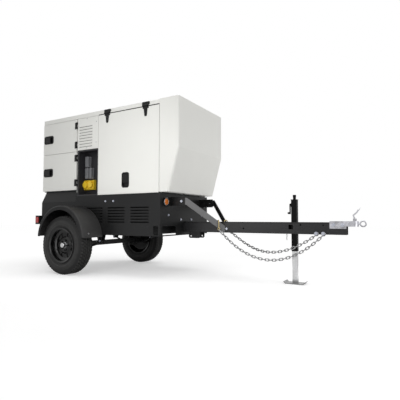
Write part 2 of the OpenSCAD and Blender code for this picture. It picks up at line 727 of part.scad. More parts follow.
// Round fenders with a turned-down outer lip
fender_x = 0;
fender_z = 423;
fender_lip = 50;
fender_t = 4;
fender_round = 22;
fender_start = 2.5;
fender_sweep = 174;
module fender_arc() translate([fender_x, 0, fender_z]) rotate([90, 0, 0]) rotate([0, 0, fender_start])
    rotate_extrude(angle = fender_sweep, $fn = 96) children();

module fender() {
    edge = skirt_y + fender_w;
    fender_arc() {
        translate([fender_r - fender_t, skirt_y]) square([fender_t, fender_w - fender_round]);
        intersection() {
            difference() {
                translate([fender_r - fender_round, edge - fender_round]) circle(fender_round);
                translate([fender_r - fender_round, edge - fender_round]) circle(fender_round - fender_t);
            }
            translate([fender_r - fender_round, edge - fender_round]) square(fender_round + 1);
        }
    }
    fender_arc() translate([fender_r - fender_lip, edge - fender_t])
        square([fender_lip - fender_round - joint_gap, fender_t]);
}

module fenders() color(black_paint) place() both_sides() fender();

// Lamp housings, red tail lenses and amber markers
lamp_y0 = 465;
lamp_y1 = 575;
lamp_z = 642;
lamp_h = 115;
lens_t = 8;
module lamp_housings() color(black_plastic) place() both_sides() {
    box(rear_x - lamp_depth + lens_t, rear_x, -lamp_y1 + lens_t, -lamp_y0, lamp_z - lamp_h / 2,
        lamp_z + lamp_h / 2);
    difference() {
        rod_x(front_wall, front_wall + 14, -marker_y, marker_z, marker_r + 13);
        rod_x(front_wall - 1, front_wall + 15, -marker_y, marker_z, marker_r);
    }
}

module tail_lamp_lenses() color("#b8231f") place() both_sides() {
    translate([0, (-lamp_y1 - lamp_y0 + lens_t) / 2, lamp_z])
        along_x(rear_x - lamp_depth, rear_x - lamp_depth + lens_t)
        rounded(lamp_y1 - lamp_y0 - lens_t - 10, lamp_h - 14, 10);
    translate([rear_x - (lamp_depth - lens_t) / 2, 0, lamp_z]) along_y(-lamp_y1, -lamp_y1 + lens_t)
        rounded(lamp_depth - lens_t - 18, lamp_h - 40, 10);
}

module marker_lamp_lenses() color("#e07a1f") place() both_sides()
    translate([front_wall - sheet, -marker_y, marker_z])
    rotate([0, 90, 0]) rotate_extrude() polygon([[0, 0], [marker_r, 0], [marker_r, 14], [marker_r - 5, 20],
                                                 [marker_r - 15, 24], [0, 26]]);

// Zinc coupler: a channel over the tongue's end, the ball housing, the loop and the latch's ears
coupler_x0 = tongue_len - 154;
coupler_t = 6;
ball_x = tongue_len + 62;
ball_bottom = tongue_top - 40;
coupler_top = tongue_top + 11;
loop_r = 25;
loop_wire = 7;
latch_x = ball_x + 5;
latch_z = coupler_top + 15;
latch_pin_r = 4;
module coupler_body() color(zinc) place() {
    difference() {
        union() {
            box(coupler_x0, tongue_len - 3, -tongue_w / 2 - coupler_t, tongue_w / 2 + coupler_t,
                tongue_top - 61, coupler_top);
            hull() {
                box(tongue_len - 3, tongue_len + 4, -tongue_w / 2 - coupler_t, tongue_w / 2 + coupler_t,
                    ball_bottom, coupler_top);
                translate([ball_x, 0, ball_bottom])
                    cylinder(h = coupler_top - ball_bottom, r = ball_r + 14, $fn = 32);
            }
            rod_x(ball_x + ball_r, tongue_len + coupler_reach - 2 * loop_r - loop_wire, 0, tongue_top - 13,
                9);
            translate([tongue_len + coupler_reach - loop_r - loop_wire, 0, tongue_top - 13])
                rotate([90, 0, 0])
                rotate_extrude() translate([loop_r, 0]) circle(loop_wire);
            for (s = [-1, 1]) box(latch_x - 14, latch_x + 14, s * 18 - 3, s * 18 + 3, coupler_top,
                latch_z + 10);
        }
        box(coupler_x0 - 1, tongue_len, -tongue_w / 2, tongue_w / 2, tongue_top - 62, tongue_top);
        rod_z(ball_x, 0, ball_bottom - 1, ball_bottom + 20, ball_r);
        translate([ball_x, 0, ball_bottom + 20]) sphere(ball_r);
    }
    rod_y(latch_x, -24, 24, latch_z, latch_pin_r);
}

// Coupler latch: a bent lever on the pin, with its wire keeper
module coupler_latch() color(zinc) place() difference() {
    union() {
        rod_y(latch_x, -14, 14, latch_z, 9);
        hull() {
            rod_y(latch_x, -9, 9, latch_z + 4, 7);
            rod_y(latch_x - 12, -9, 9, latch_z + 42, 6);
        }
        hull() {
            rod_y(latch_x - 12, -9, 9, latch_z + 42, 6);
            rod_y(latch_x + 18, -7, 7, latch_z + 68, 6);
        }
        hull() {
            rod_y(latch_x + 18, -7, 7, latch_z + 68, 6);
            rod_y(latch_x + 30, -6, 6, latch_z + 92, 4);
        }
        translate([latch_x + 16, 0, latch_z + 60]) rotate([0, 35, 0]) cylinder(h = 66, r = 2.5);
    }
    rod_y(latch_x, -30, 30, latch_z, latch_pin_r + pin_gap);
}

// Jack: outer tube welded through the tongue, with its cap and the crank's bearing
jack_in = jack_w / 2 - jack_wall;
jack_bottom = 328;
crank_axis_z = jack_top - 49;
crank_r = 9;
crank_boss = 10;
module jack_tube() color(black_paint) place() {
    difference() {
        union() {
            box(jack_x - jack_w / 2, jack_x + jack_w / 2, -jack_w / 2, jack_w / 2, jack_bottom, jack_top);
            rod_x(jack_x - jack_w / 2 - crank_boss, jack_x - jack_w / 2, 0, crank_axis_z, 18);
        }
        box(jack_x - jack_in, jack_x + jack_in, -jack_in, jack_in, jack_bottom - 1, jack_top - 6);
        rod_x(jack_x - jack_w, jack_x, 0, crank_axis_z, crank_r + pin_gap);
    }
    box(jack_x - jack_w / 2 - 3, jack_x + jack_w / 2 + 3, -jack_w / 2 - 3, jack_w / 2 + 3, jack_top,
        jack_top + 6);
    rod_z(jack_x, 0, jack_top + 6, jack_top + 32, 15);
    translate([jack_x, 0, jack_top + 32]) cylinder(h = 21, r = 17, $fn = 6);
}

leg_w = jack_in - jack_gap;
leg_top = 480;
foot_w = 130;
half_foot = foot_l / 2;
module jack_leg() color(zinc) place() {
    difference() {
        box(jack_x - leg_w, jack_x + leg_w, -leg_w, leg_w, 7, leg_top);
        box(jack_x - leg_w + 4, jack_x + leg_w - 4, -leg_w + 4, leg_w - 4, 8, leg_top + 1);
        rod_y(jack_x, -jack_w, jack_w, leg_top - 60, 7);
    }
    difference() {
        translate([jack_x, 0, 0]) along_y(-foot_w / 2, foot_w / 2)
            polygon([[-half_foot, 22], [20 - half_foot, 0], [half_foot - 20, 0], [half_foot, 22],
                     [half_foot - 8, 24], [half_foot - 24, 8], [24 - half_foot, 8], [8 - half_foot, 24]]);
        for (s = [-1, 1]) rod_z(jack_x + s * 65, 0, -1, 30, 7);
    }
}

crank_arm = 84;
crank_out = jack_x - jack_w / 2 - crank_boss - 4;
module jack_crank() color(black_paint) place() {
    rod_x(crank_out, jack_x - jack_w / 2 + jack_wall, 0, crank_axis_z, crank_r);
    box(crank_out - 8, crank_out, -13, 13, crank_axis_z - crank_arm, crank_axis_z);
    rod_x(crank_out - 8, crank_out, 0, crank_axis_z, 13);
    rod_x(crank_out - 8, crank_out, 0, crank_axis_z - crank_arm, 13);
    rod_x(crank_out - 28, crank_out - 8, 0, crank_axis_z - crank_arm, 10);
}

// Safety chains: links set along a sagging path from a ring on the tongue to a hook on the brace
link_w = wire_d * 1.45;
bend_r = (link_w + wire_d) / 2;
link_gap = 0.3;
end_reach = (link_pitch + wire_d) / 2;
ring_r = 17;
ring_wire = 5;
ring_bolt = 20;
ring_y = tongue_w / 2 + 18;
ring_z = tongue_z + 5;
ring_bottom = ring_z - ring_r + ring_wire + wire_d / 2 + 0.3;
near_ring_x = tongue_len - 209;
far_ring_x = near_ring_x - 66;
hook_x = 1712;
hook_share = (hook_x - brace_x1 + 5) / (brace_foot_x + 14 - brace_x1 + 5);
hook_y = bracket_y + bracket_t - hook_share * (bracket_y + bracket_t - tongue_w / 2 - 2);
hook_top = brace_top_z + brace_h / 2 - hook_share * (brace_top_z + brace_h / 2 - brace_foot_z - 14);
hook_r = 19;
hook_wire = 6;
hook_lift = 8;
hook_drop = 70;
hook_eye_r = 12;
hook_n = [sin(42), -cos(42)];
hook_eye = [hook_x + hook_r * hook_n[0], -hook_y + hook_r * hook_n[1], hook_top - hook_drop - hook_eye_r];
hook_bottom = hook_eye[2] - hook_eye_r + hook_wire * 0.8 + wire_d / 2 + 0.3;

function mix(a, b, t) = a + (b - a) * t;
function ease(t) = t < 0 ? 0 : t > 1 ? 1 : t * t * (3 - 2 * t);
// Points of the path for u from 0 at the ring to 1 at the hook
function chain_point(u, front, rear, sag, from, to) = [
    mix(front[0], rear[0], u),
    mix(front[1], rear[1], ease((u - from) / (to - from))),
    mix(front[2], rear[2], u) - 4 * sag * u * (1 - u)
];
chain_steps = 160;
near_front = [near_ring_x, -ring_y, ring_bottom];
near_rear = [hook_eye[0], hook_eye[1], hook_bottom];
far_front = [far_ring_x, -ring_y, ring_bottom];
far_rear = [hook_eye[0], -hook_eye[1], hook_bottom];
near_path = [for (i = [0 : chain_steps]) chain_point(i / chain_steps, near_front, near_rear, 290, 0.1,
    0.9)];
far_path = [for (i = [0 : chain_steps]) chain_point(i / chain_steps, far_front, far_rear, 212, 0.34, 0.94)];
function lengths(p, i = 1, run = [0]) = i >= len(p) ? run : lengths(p, i + 1,
    concat(run, run[i - 1] + norm(p[i] - p[i - 1])));
function after(run, s) = max([for (i = [0 : len(run) - 2]) if (run[i] <= s) i]);

module link(pitch) {
    link_straight = pitch + wire_d - 2 * bend_r;
    for (s = [-1, 1]) {
        translate([s * link_straight / 2, 0, 0]) rotate([0, 0, -s * 90])
            rotate_extrude(angle = 180, $fn = 32)
            translate([bend_r, 0]) circle(wire_d / 2, $fn = 24);
        translate([-link_straight / 2, s * bend_r, 0]) rotate([0, 90, 0])
            cylinder(h = link_straight, r = wire_d / 2, $fn = 24);
    }
}

module chain(path) {
    run = lengths(path);
    room = run[len(run) - 1] - 2 * end_reach;
    count = 2 * round(room / (2 * link_pitch));
    for (i = [0 : count]) {
        s = end_reach + room * i / count;
        k = after(run, s);
        way = path[k + 1] - path[k];
        spot = path[k] + way * (s - run[k]) / norm(way);
        translate(spot) rotate([0, -atan2(way[2], norm([way[0], way[1]])), atan2(way[1], way[0])])
            rotate([i % 2 == 0 ? 0 : 90, 0, 0]) link(room / count + link_gap);
    }
}

module safety_chains() color(zinc) place() {
    chain(near_path);
    chain(far_path);
    for (x = [near_ring_x, far_ring_x]) translate([x, -ring_y, ring_z]) rotate([90, 0, 0])
        rotate_extrude($fn = 32) translate([ring_r, 0]) circle(ring_wire, $fn = 24);
}

// Gold-coloured hooks over the braces
module chain_hook() translate([hook_x, -hook_y, hook_top - hook_r + hook_wire + hook_lift])
    rotate([0, 0, atan2(hook_n[1], hook_n[0])]) {
    drop = hook_drop - hook_r + hook_wire + hook_lift;
    rotate([90, 0, 0]) rotate_extrude(angle = 180, $fn = 32) translate([hook_r, 0])
        circle(hook_wire, $fn = 24);
    translate([hook_r, 0, -drop]) cylinder(h = drop, r = hook_wire, $fn = 24);
    translate([-hook_r, 0, -24]) cylinder(h = 24, r = hook_wire, $fn = 24);
    translate([hook_r, 0, -drop - hook_eye_r]) rotate([0, 0, -atan2(hook_n[1], hook_n[0])])
        rotate([90, 0, 0])
        rotate_extrude($fn = 32) translate([hook_eye_r, 0]) circle(hook_wire * 0.8, $fn = 24);
}

module chain_hooks() color("#c98a2b") place() both_sides() chain_hook();

// Visible bolts of the frame, tongue, coupler and springs
module frame_bolts() color(zinc) place() {
    for (x = [near_ring_x, far_ring_x]) {
        rod_y(x, -ring_y - ring_bolt, -tongue_w / 2, ring_z + ring_r - ring_wire - 6.5, 6);
        translate([x, -ring_y - ring_bolt, ring_z + ring_r - ring_wire - 6.5]) bolt_head(24);
    }
    both_sides() {
        for (x = [coupler_x0 + 34, tongue_len - 36])
            translate([x, -tongue_w / 2 - coupler_t, tongue_top - 26]) bolt_head(24);
        translate([brace_foot_x + 41, -tongue_w / 2, tongue_z + 43]) bolt_head(19);
        translate([(brace_x0 + bracket_end) / 2 - 7, -bracket_y - bracket_t * 1.5, brace_top_z])
            bolt_head(19);
        for (x = [433, 556]) translate([x, -skirt_y, 864]) bolt_head(15);
        for (p = [[375, 699], [118, 648]])
            translate([front_wall, -p[0], p[1]]) rotate([0, 0, 90]) bolt_head(17);
        for (s = [-1, 1]) {
            rod_y(s * spring_half, -spring_y - spring_w / 2 - 22, -spring_y + spring_w / 2 + 22, eye_z,
                eye_pin_r - pin_gap);
            translate([s * spring_half, -spring_y - spring_w / 2 - 7, eye_z]) bolt_head(21);
        }
    }
}

// Hinge leaves fixed to the roof lip and to the hinge post
strap_w = 84;
strap_head = 22;
strap_root = 27;
strap_tip = 17;
strap_len = 94;
middle = 30;
clear = 0.6;
module strap_hinge_fixed(x) {
    translate([x, 0, hinge_z + 26]) along_y(-half_w - 1, -roof_y) rounded(107, 36, 12);
    for (s = [-1, 1]) {
        x0 = s > 0 ? x + middle / 2 + clear : x - strap_w / 2;
        rod_x(x0, x0 + (strap_w - middle) / 2 - clear, -hinge_y, hinge_z, barrel_r);
        box(x0, x0 + (strap_w - middle) / 2 - clear, -half_w - 1, -roof_y, hinge_z - 2, hinge_z + 12);
    }
    rod_x(x - strap_w / 2, x + strap_w / 2, -hinge_y, hinge_z, pin_r);
}

rear_hinges = [
    [rear_split_z + 41, door_top - 124],
    [sill_z + 53, rear_split_z - 125]
];
module rear_hinge_fixed(z) {
    for (z0 = [z, z + (leaf_h + middle) / 2 + clear]) {
        rod_z(-rear_hinge_x, -hinge_y, z0, z0 + (leaf_h - middle) / 2 - clear, barrel_r);
        box(-rear_hinge_x + 1, recess_x0, -hinge_y, -post_y1, z0, z0 + (leaf_h - middle) / 2 - clear);
    }
    rod_z(-rear_hinge_x, -hinge_y, z, z + leaf_h, pin_r);
}

module fixed_hinge_leaves() color(black_plastic) place() {
    both_sides() for (x = strap_xs) strap_hinge_fixed(x);
    for (pair = rear_hinges, z = pair) rear_hinge_fixed(z);
}

// Leaf springs under the axle tube
module leaf_spring() difference() {
    union() {
        translate([0, 0, spring_top + leaf_r]) rotate([90, 0, 0]) for (i = [0 : len(leaf_shares) - 1]) {
            a = leaf_a * leaf_shares[i];
            rotate([0, 0, -90 - a]) rotate_extrude(angle = 2 * a, $fn = 96)
                translate([leaf_r + i * leaf_t, spring_y - spring_w / 2]) square([leaf_t, spring_w]);
        }
        for (s = [-1, 1]) rod_y(s * spring_half, -spring_y - spring_w / 2, -spring_y + spring_w / 2, eye_z,
            eye_out_r);
    }
    for (s = [-1, 1]) rod_y(s * spring_half, -spring_y - spring_w, -spring_y + spring_w, eye_z, eye_pin_r);
}

module leaf_springs() color(black_paint) place() both_sides() leaf_spring();

// Axle tube with its spindles, brake backing plates, spring plates and U-bolts
hub_in = 60;
plate_h = -40;
module backing_plate() wheel_at() difference() {
    union() {
        translate([0, 0, plate_h]) cylinder(h = 4, r = drum_r - drum_wall - 1.5);
        translate([0, 0, -hub_in - 16]) cylinder(h = plate_h + hub_in + 18, r = centre_r + 14);
    }
    translate([0, 0, -hub_in - 6]) cylinder(h = 60, r = centre_r + 3);
}

module axle_beam() color(black_paint) place() {
    end_y = wheel_y - hub_in - 30;
    pack = len(leaf_shares) * leaf_t;
    box(-axle_t / 2, axle_t / 2, -end_y, end_y, axle_z - axle_t / 2, axle_z + axle_t / 2);
    both_sides() {
        rod_y(0, -wheel_y - 30, -end_y, axle_z, spindle_r);
        rod_y(0, -end_y - 20, -end_y, axle_z, spindle_r + 12);
        backing_plate();
        box(-50, 50, -spring_y - 42, -spring_y + 42, spring_top - pack - 10.5, spring_top - pack - 0.5);
        for (x = [-1, 1], y = [-1, 1])
            rod_z(x * (axle_t / 2 + 7), -spring_y + y * (spring_w / 2 + 8), spring_top - pack - 26,
                axle_z + axle_t / 2 + 6, 6);
        for (y = [-1, 1])
            rod_x(-axle_t / 2 - 13, axle_t / 2 + 13, -spring_y + y * (spring_w / 2 + 8),
                axle_z + axle_t / 2 + 6, 6);
    }
}

// Wheels: h is measured outwards from the middle of the tyre
module wheel_at() translate([0, -wheel_y, axle_z]) rotate([90, 0, 0]) children();

bead_h = 82;
bead_r = rim_d / 2;
shoulder_r = tyre_d / 2 - 15;
wall_steps = 10;
function sidewall(t, top, in) = [
    mix(bead_r, top, t),
    bead_h - in + (tyre_w / 2 - bead_h) * pow(sin(180 * t), 2)
];
module tyre_section() {
    outer = concat([for (i = [0 : wall_steps]) sidewall(i / wall_steps, shoulder_r, 0)],
                   [[tyre_d / 2 - 5, bead_h - 6], [tyre_d / 2, bead_h - 18]]);
    inner = [for (i = [wall_steps : -1 : 0]) sidewall(i / wall_steps, shoulder_r - 2, 14)];
    upper = concat(inner, outer);
    difference() {
        polygon(concat(upper, [for (i = [len(upper) - 1 : -1 : 0]) [upper[i][0], -upper[i][1]]]));
        for (h = [-46, -16, 16, 46]) translate([tyre_d / 2 - 8, h - 4]) square([20, 8]);
    }
}

module tyre() wheel_at() rotate_extrude($fn = 96) tyre_section();

lug_circle_r = 57;
centre_r = 38;
drum_r = 150;
drum_wall = 9;
drum_h0 = -46;
drum_h1 = 22 - joint_gap;
module rim() wheel_at() {
    rotate_extrude($fn = 96) for (s = [-1, 1]) polygon([
        [bead_r - 6.5, 0], [bead_r - 0.2, 0], [bead_r - 0.2, s * 83], [bead_r + 10, s * 88],
            [bead_r + 17, s * 91],
        [bead_r + 17, s * 95], [bead_r + 8, s * 94], [bead_r - 5, s * 88], [bead_r - 6.5, s * 84]
    ]);
    difference() {
        rotate_extrude($fn = 96) polygon([
            [centre_r, 36], [80, 36], [100, 22], [150, 22], [176, 30], [bead_r - 6.4, 30],
                [bead_r - 6.4, 40],
            [174, 38], [150, 30], [103, 30], [84, 44], [centre_r, 44]
        ]);
        for (i = [0 : 7]) rotate([0, 0, i * 45 + 22.5]) translate([128, 0, 10]) linear_extrude(40)
            rounded(46, 40, 14);
        for (i = [0 : 4]) rotate([0, 0, i * 72]) translate([lug_circle_r, 0, 30]) cylinder(h = 20, r = 7);
    }
    difference() {
        translate([0, 0, drum_h0]) cylinder(h = drum_h1 - drum_h0, r = drum_r);
        translate([0, 0, drum_h0 - 1]) cylinder(h = drum_h1 - drum_h0 - 7, r = drum_r - drum_wall);
        translate([0, 0, drum_h1 - 9]) cylinder(h = 10, r = centre_r);
    }
}

module hub() wheel_at() {
    difference() {
        union() {
            translate([0, 0, -hub_in]) cylinder(h = hub_in + 40, r = centre_r - 0.4);
            translate([0, 0, 22]) cylinder(h = 13.8, r = 72);
            translate([0, 0, 40]) cylinder(h = 22, r = 31);
            translate([0, 0, 62]) rotate_extrude() intersection() {
                circle(31);
                square([31, 16]);
            }
        }
        translate([0, 0, -hub_in - 1]) cylinder(h = hub_in + 36, r = spindle_r + pin_gap);
    }
    for (i = [0 : 4]) rotate([0, 0, i * 72]) translate([lug_circle_r, 0, 0]) {
        translate([0, 0, 30]) cylinder(h = 36, r = 6);
        translate([0, 0, 44]) cylinder(h = 16, r = 11, $fn = 6);
    }
}

module tyre_right() color(rubber) place() tyre();
module rim_right() color(black_paint) place() rim();
module hub_right() color(zinc) place() hub();
module tyre_left() color(rubber) place() mirror([0, 1, 0]) tyre();
module rim_left() color(black_paint) place() mirror([0, 1, 0]) rim();
module hub_left() color(zinc) place() mirror([0, 1, 0]) hub();

// Paddle latches: drawn upright about x = 0, z = 0 on the right-hand door plane
latch_w = 108;
latch_h = 178;
latch_edge = 8;
latch_r = 28;
tray_d = 17;
tray_wall = 4;
paddle_pin_r = 3;
paddle_pin_z = latch_h / 2 - 30;
paddle_pin_y = half_w - 4;
module latch_hole() along_y(-half_w - 1, -half_w + tray_d)
    rounded(latch_w - 2 * latch_edge, latch_h - 2 * latch_edge, latch_r - latch_edge);

module latch_tray() difference() {
    inner_w = latch_w - 2 * (latch_edge + tray_wall);
    union() {
        along_y(-half_w - 5, -half_w) rounded(latch_w, latch_h, latch_r);
        latch_body = [latch_w - 2 * latch_edge, latch_h - 2 * latch_edge];
        along_y(-half_w, -half_w + tray_d) rounded(latch_body[0], latch_body[1], latch_r - latch_edge);
    }
    along_y(-half_w - 6, -half_w + tray_d - 3)
        rounded(inner_w, latch_h - 2 * (latch_edge + tray_wall), latch_r - latch_edge - tray_wall);
    rod_x(-inner_w / 2 - 3.5, inner_w / 2 + 3.5, -paddle_pin_y, paddle_pin_z, paddle_pin_r + pin_gap);
}

module paddle() {
    inner_w = latch_w - 2 * (latch_edge + tray_wall);
    translate([0, 0, paddle_pin_z - 40]) along_y(-half_w - 3, -half_w + 2)
        rounded(inner_w - 6, 106, latch_r - latch_edge - tray_wall - 3);
    rod_x(-inner_w / 2 + 3, inner_w / 2 - 3, -paddle_pin_y, paddle_pin_z, 5);
    rod_x(-inner_w / 2 - 3, inner_w / 2 + 3, -paddle_pin_y, paddle_pin_z, paddle_pin_r);
    translate([0, 0, paddle_pin_z - 78]) along_y(-half_w - 7, -half_w - 3) rounded(inner_w - 26, 12, 5);
}

// Main doors: gull-wing, hung from the roof lip
main_latch_x = 728;
main_latch_z = door_bottom + 160;
module at_main_latch() translate([main_latch_x, 0, main_latch_z]) children();

module door_slab(x0, x1, z0, z1) difference() {
    box(x0, x1, -half_w, -panel_y, z0, z1);
    box(x0 + 18, x1 - 18, -panel_y - 4, -panel_y + 1, z0 + 18, z1 - 18);
}

module main_door() difference() {
    door_slab(main_x0, main_x1, door_bottom, door_top);
    at_main_latch() latch_hole();
}

module main_fittings() {
    for (x = strap_xs) {
        along_y(-half_w - 5, -half_w) {
            translate([x, door_top - strap_head / 2]) rounded(strap_w, strap_head, 7);
            polygon([[x - strap_root, door_top - strap_head / 2],
                [x + strap_root, door_top - strap_head / 2],
                [x + strap_tip, door_top - strap_len], [x - strap_tip, door_top - strap_len]]);
            translate([x, door_top - strap_len]) circle(strap_tip);
        }
        difference() {
            union() {
                rod_x(x - middle / 2, x + middle / 2, -hinge_y, hinge_z, barrel_r);
                box(x - middle / 2, x + middle / 2, -half_w - 5, -half_w, door_top - 2, hinge_z - 4);
            }
            rod_x(x - middle, x + middle, -hinge_y, hinge_z, pin_r + pin_gap);
        }
    }
    at_main_latch() latch_tray();
}

module main_door_right() color(white_paint) place() main_door();
module main_door_right_fittings() color(black_plastic) place() main_fittings();
module main_paddle_right() color(black_plastic) place() at_main_latch() paddle();
module main_door_left() color(white_paint) place() mirror([0, 1, 0]) main_door();
module main_door_left_fittings() color(black_plastic) place() mirror([0, 1, 0]) main_fittings();
module main_paddle_left() color(black_plastic) place() mirror([0, 1, 0]) at_main_latch() paddle();

// Rear side doors: hung on the hinge post, with the latch lying down near the rear edge
rear_latch_x = rear_x + 106;
module at_rear_latch(z) translate([rear_latch_x, 0, z]) rotate([0, -90, 0]) children();

module rear_door(z0, z1, latch_z) difference() {
    door_slab(rear_x, rear_door_x1, z0, z1);
    at_rear_latch(latch_z) latch_hole();
}

module rear_fittings(pair, latch_z) {
    for (z = pair) difference() {
        union() {
            rod_z(-rear_hinge_x, -hinge_y, z + (leaf_h - middle) / 2, z + (leaf_h + middle) / 2, barrel_r);
            box(rear_door_x1 - 22, -rear_hinge_x, -half_w - 5, -half_w, z + (leaf_h - middle) / 2,
                z + (leaf_h + middle) / 2);
            box(rear_door_x1 - 28, rear_door_x1 - 8, -half_w - 5, -half_w, z, z + leaf_h);
        }
        rod_z(-rear_hinge_x, -hinge_y, z, z + leaf_h, pin_r + pin_gap);
    }
    at_rear_latch(latch_z) latch_tray();
}

upper_z0 = rear_split_z + seam / 2;
lower_z1 = rear_split_z - seam / 2;
upper_latch_z = (upper_z0 + door_top) / 2 - 7;
lower_latch_z = (sill_z + lower_z1) / 2 + 4;
module upper_door() color(white_paint) place() rear_door(upper_z0, door_top, upper_latch_z);
module upper_door_fittings() color(black_plastic) place() rear_fittings(rear_hinges[0], upper_latch_z);
module upper_paddle() color(black_plastic) place() at_rear_latch(upper_latch_z) paddle();
module lower_door() color(white_paint) place() rear_door(sill_z + seam, lower_z1, lower_latch_z);
module lower_door_fittings() color(black_plastic) place() rear_fittings(rear_hinges[1], lower_latch_z);
module lower_paddle() color(black_plastic) place() at_rear_latch(lower_latch_z) paddle();

main_frame();
tongue();
tongue_braces();
skirt_panels();
skirt_front();
floor_deck();
fuel_tank();
roof_cap();
enclosure_posts();
front_hood();
rear_wall();
vent_panels();
receptacle_box();
duplex_outlets();
twist_lock_sockets();
control_panel();
engine();
alternator();
radiator();
muffler();
air_cleaner();
battery();
fenders();
lamp_housings();
tail_lamp_lenses();
marker_lamp_lenses();
coupler_body();
jack_tube();
safety_chains();
chain_hooks();
frame_bolts();
fixed_hinge_leaves();
leaf_springs();
axle_beam();
tyre_right();
rim_right();
hub_right();
tyre_left();
rim_left();
hub_left();
jack_leg();
jack_crank();
coupler_latch();
main_door_right();
main_door_right_fittings();
main_paddle_right();
main_door_left();
main_door_left_fittings();
main_paddle_left();
upper_door();
upper_door_fittings();
upper_paddle();
lower_door();
lower_door_fittings();
lower_paddle();
socket_lid_front();
socket_lid_rear();
fan();
stop_button();
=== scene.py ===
"""Looks of a towable diesel generator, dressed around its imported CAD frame.

Every length is in metres in the part's own frame: +X points to the hitch, +Y to the trailer's left and +Z up.
"""

import logging
import math
from dataclasses import dataclass, field
from enum import Enum
from typing import Any, ClassVar, Dict, List, Sequence, Tuple, Union

import bmesh
import bpy
from mathutils import Matrix, Vector


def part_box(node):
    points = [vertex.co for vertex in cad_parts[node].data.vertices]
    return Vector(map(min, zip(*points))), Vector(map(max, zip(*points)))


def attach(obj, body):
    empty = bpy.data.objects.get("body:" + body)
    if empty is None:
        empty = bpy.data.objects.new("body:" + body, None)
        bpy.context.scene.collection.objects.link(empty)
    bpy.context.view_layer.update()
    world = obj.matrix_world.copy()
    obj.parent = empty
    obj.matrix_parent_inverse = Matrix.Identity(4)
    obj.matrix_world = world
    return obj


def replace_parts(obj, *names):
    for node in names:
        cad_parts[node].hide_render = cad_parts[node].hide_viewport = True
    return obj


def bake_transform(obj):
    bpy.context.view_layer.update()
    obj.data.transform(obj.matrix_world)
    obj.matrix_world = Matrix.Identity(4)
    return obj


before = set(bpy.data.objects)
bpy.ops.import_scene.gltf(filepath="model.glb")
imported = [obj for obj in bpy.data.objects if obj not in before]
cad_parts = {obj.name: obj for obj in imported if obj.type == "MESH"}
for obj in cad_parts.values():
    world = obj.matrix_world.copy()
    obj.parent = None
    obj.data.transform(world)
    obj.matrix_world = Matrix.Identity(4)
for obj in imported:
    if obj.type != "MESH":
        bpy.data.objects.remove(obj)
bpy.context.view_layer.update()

LOG = logging.getLogger("generator")
Point = Tuple[float, float, float]
Colour = Tuple[float, float, float, float]
Pair = Tuple[float, float]
Profile = Tuple[Pair, ...]
Ring = List[bmesh.types.BMVert]
Operand = Union["Signal", float]
ALIKE: Point = (1.0, 1.0, 1.0)
WHITE: Colour = (1.0, 1.0, 1.0, 1.0)
FORWARD = Vector((1.0, 0.0, 0.0))
LEFTWARD = Vector((0.0, 1.0, 0.0))
UPWARD = Vector((0.0, 0.0, 1.0))
WELD_GAP = 2e-5
SAME_PLACE = 1e-6
FLAT_ANGLE = math.radians(0.3)
BEVEL_ANGLE = math.radians(32.0)
BEVEL_STEPS = 2
SHARP_ANGLE = math.radians(38.0)
SPECK_SCALE = 38.0
PEEL_SCALE = 420.0
PEEL_DEPTH = 0.00012


class Side(Enum):
    """Side of the trailer, with the sign of its Y."""

    RIGHT = -1
    LEFT = 1

    @property
    def word(self) -> str:
        """The side's name in names of nodes and pieces."""
        return self.name.lower()

    @property
    def out(self) -> Vector:
        """Direction out of the side."""
        return Vector((0.0, float(self.value), 0.0))


class Body(str, Enum):
    """Bodies that added pieces ride on."""

    TRAILER = "trailer"
    AXLE = "axle"
    WHEEL_RIGHT = "wheel_right"
    WHEEL_LEFT = "wheel_left"


class Signal:
    """A shader value that takes part in Python arithmetic."""

    def __init__(self, graph: "ShaderGraph", socket: bpy.types.NodeSocket) -> None:
        """Wrap one output socket of a graph."""
        self.graph = graph
        self.socket = socket

    def _math(self, operation: str, first: Operand, second: Operand) -> "Signal":
        """Add one Math node, by Blender's name of the operation, and take its result."""
        return self.graph.node("ShaderNodeMath", {"operation": operation}, {0: first, 1: second})

    def __add__(self, other: Operand) -> "Signal":
        """Sum with a value."""
        return self._math("ADD", self, other)

    def __radd__(self, other: Operand) -> "Signal":
        """Sum with a number on the left."""
        return self._math("ADD", other, self)

    def __sub__(self, other: Operand) -> "Signal":
        """Difference from a value."""
        return self._math("SUBTRACT", self, other)

    def __rsub__(self, other: Operand) -> "Signal":
        """Difference of a number on the left."""
        return self._math("SUBTRACT", other, self)

    def __mul__(self, other: Operand) -> "Signal":
        """Product with a value."""
        return self._math("MULTIPLY", self, other)

    def __rmul__(self, other: Operand) -> "Signal":
        """Product with a number on the left."""
        return self._math("MULTIPLY", other, self)

    def __truediv__(self, other: Operand) -> "Signal":
        """Quotient by a value."""
        return self._math("DIVIDE", self, other)

    def at_most(self, other: Operand) -> "Signal":
        """Smaller of the value and another."""
        return self._math("MINIMUM", self, other)

    def sine(self) -> "Signal":
        """Sine of the value in radians."""
        return self._math("SINE", self, 0.0)


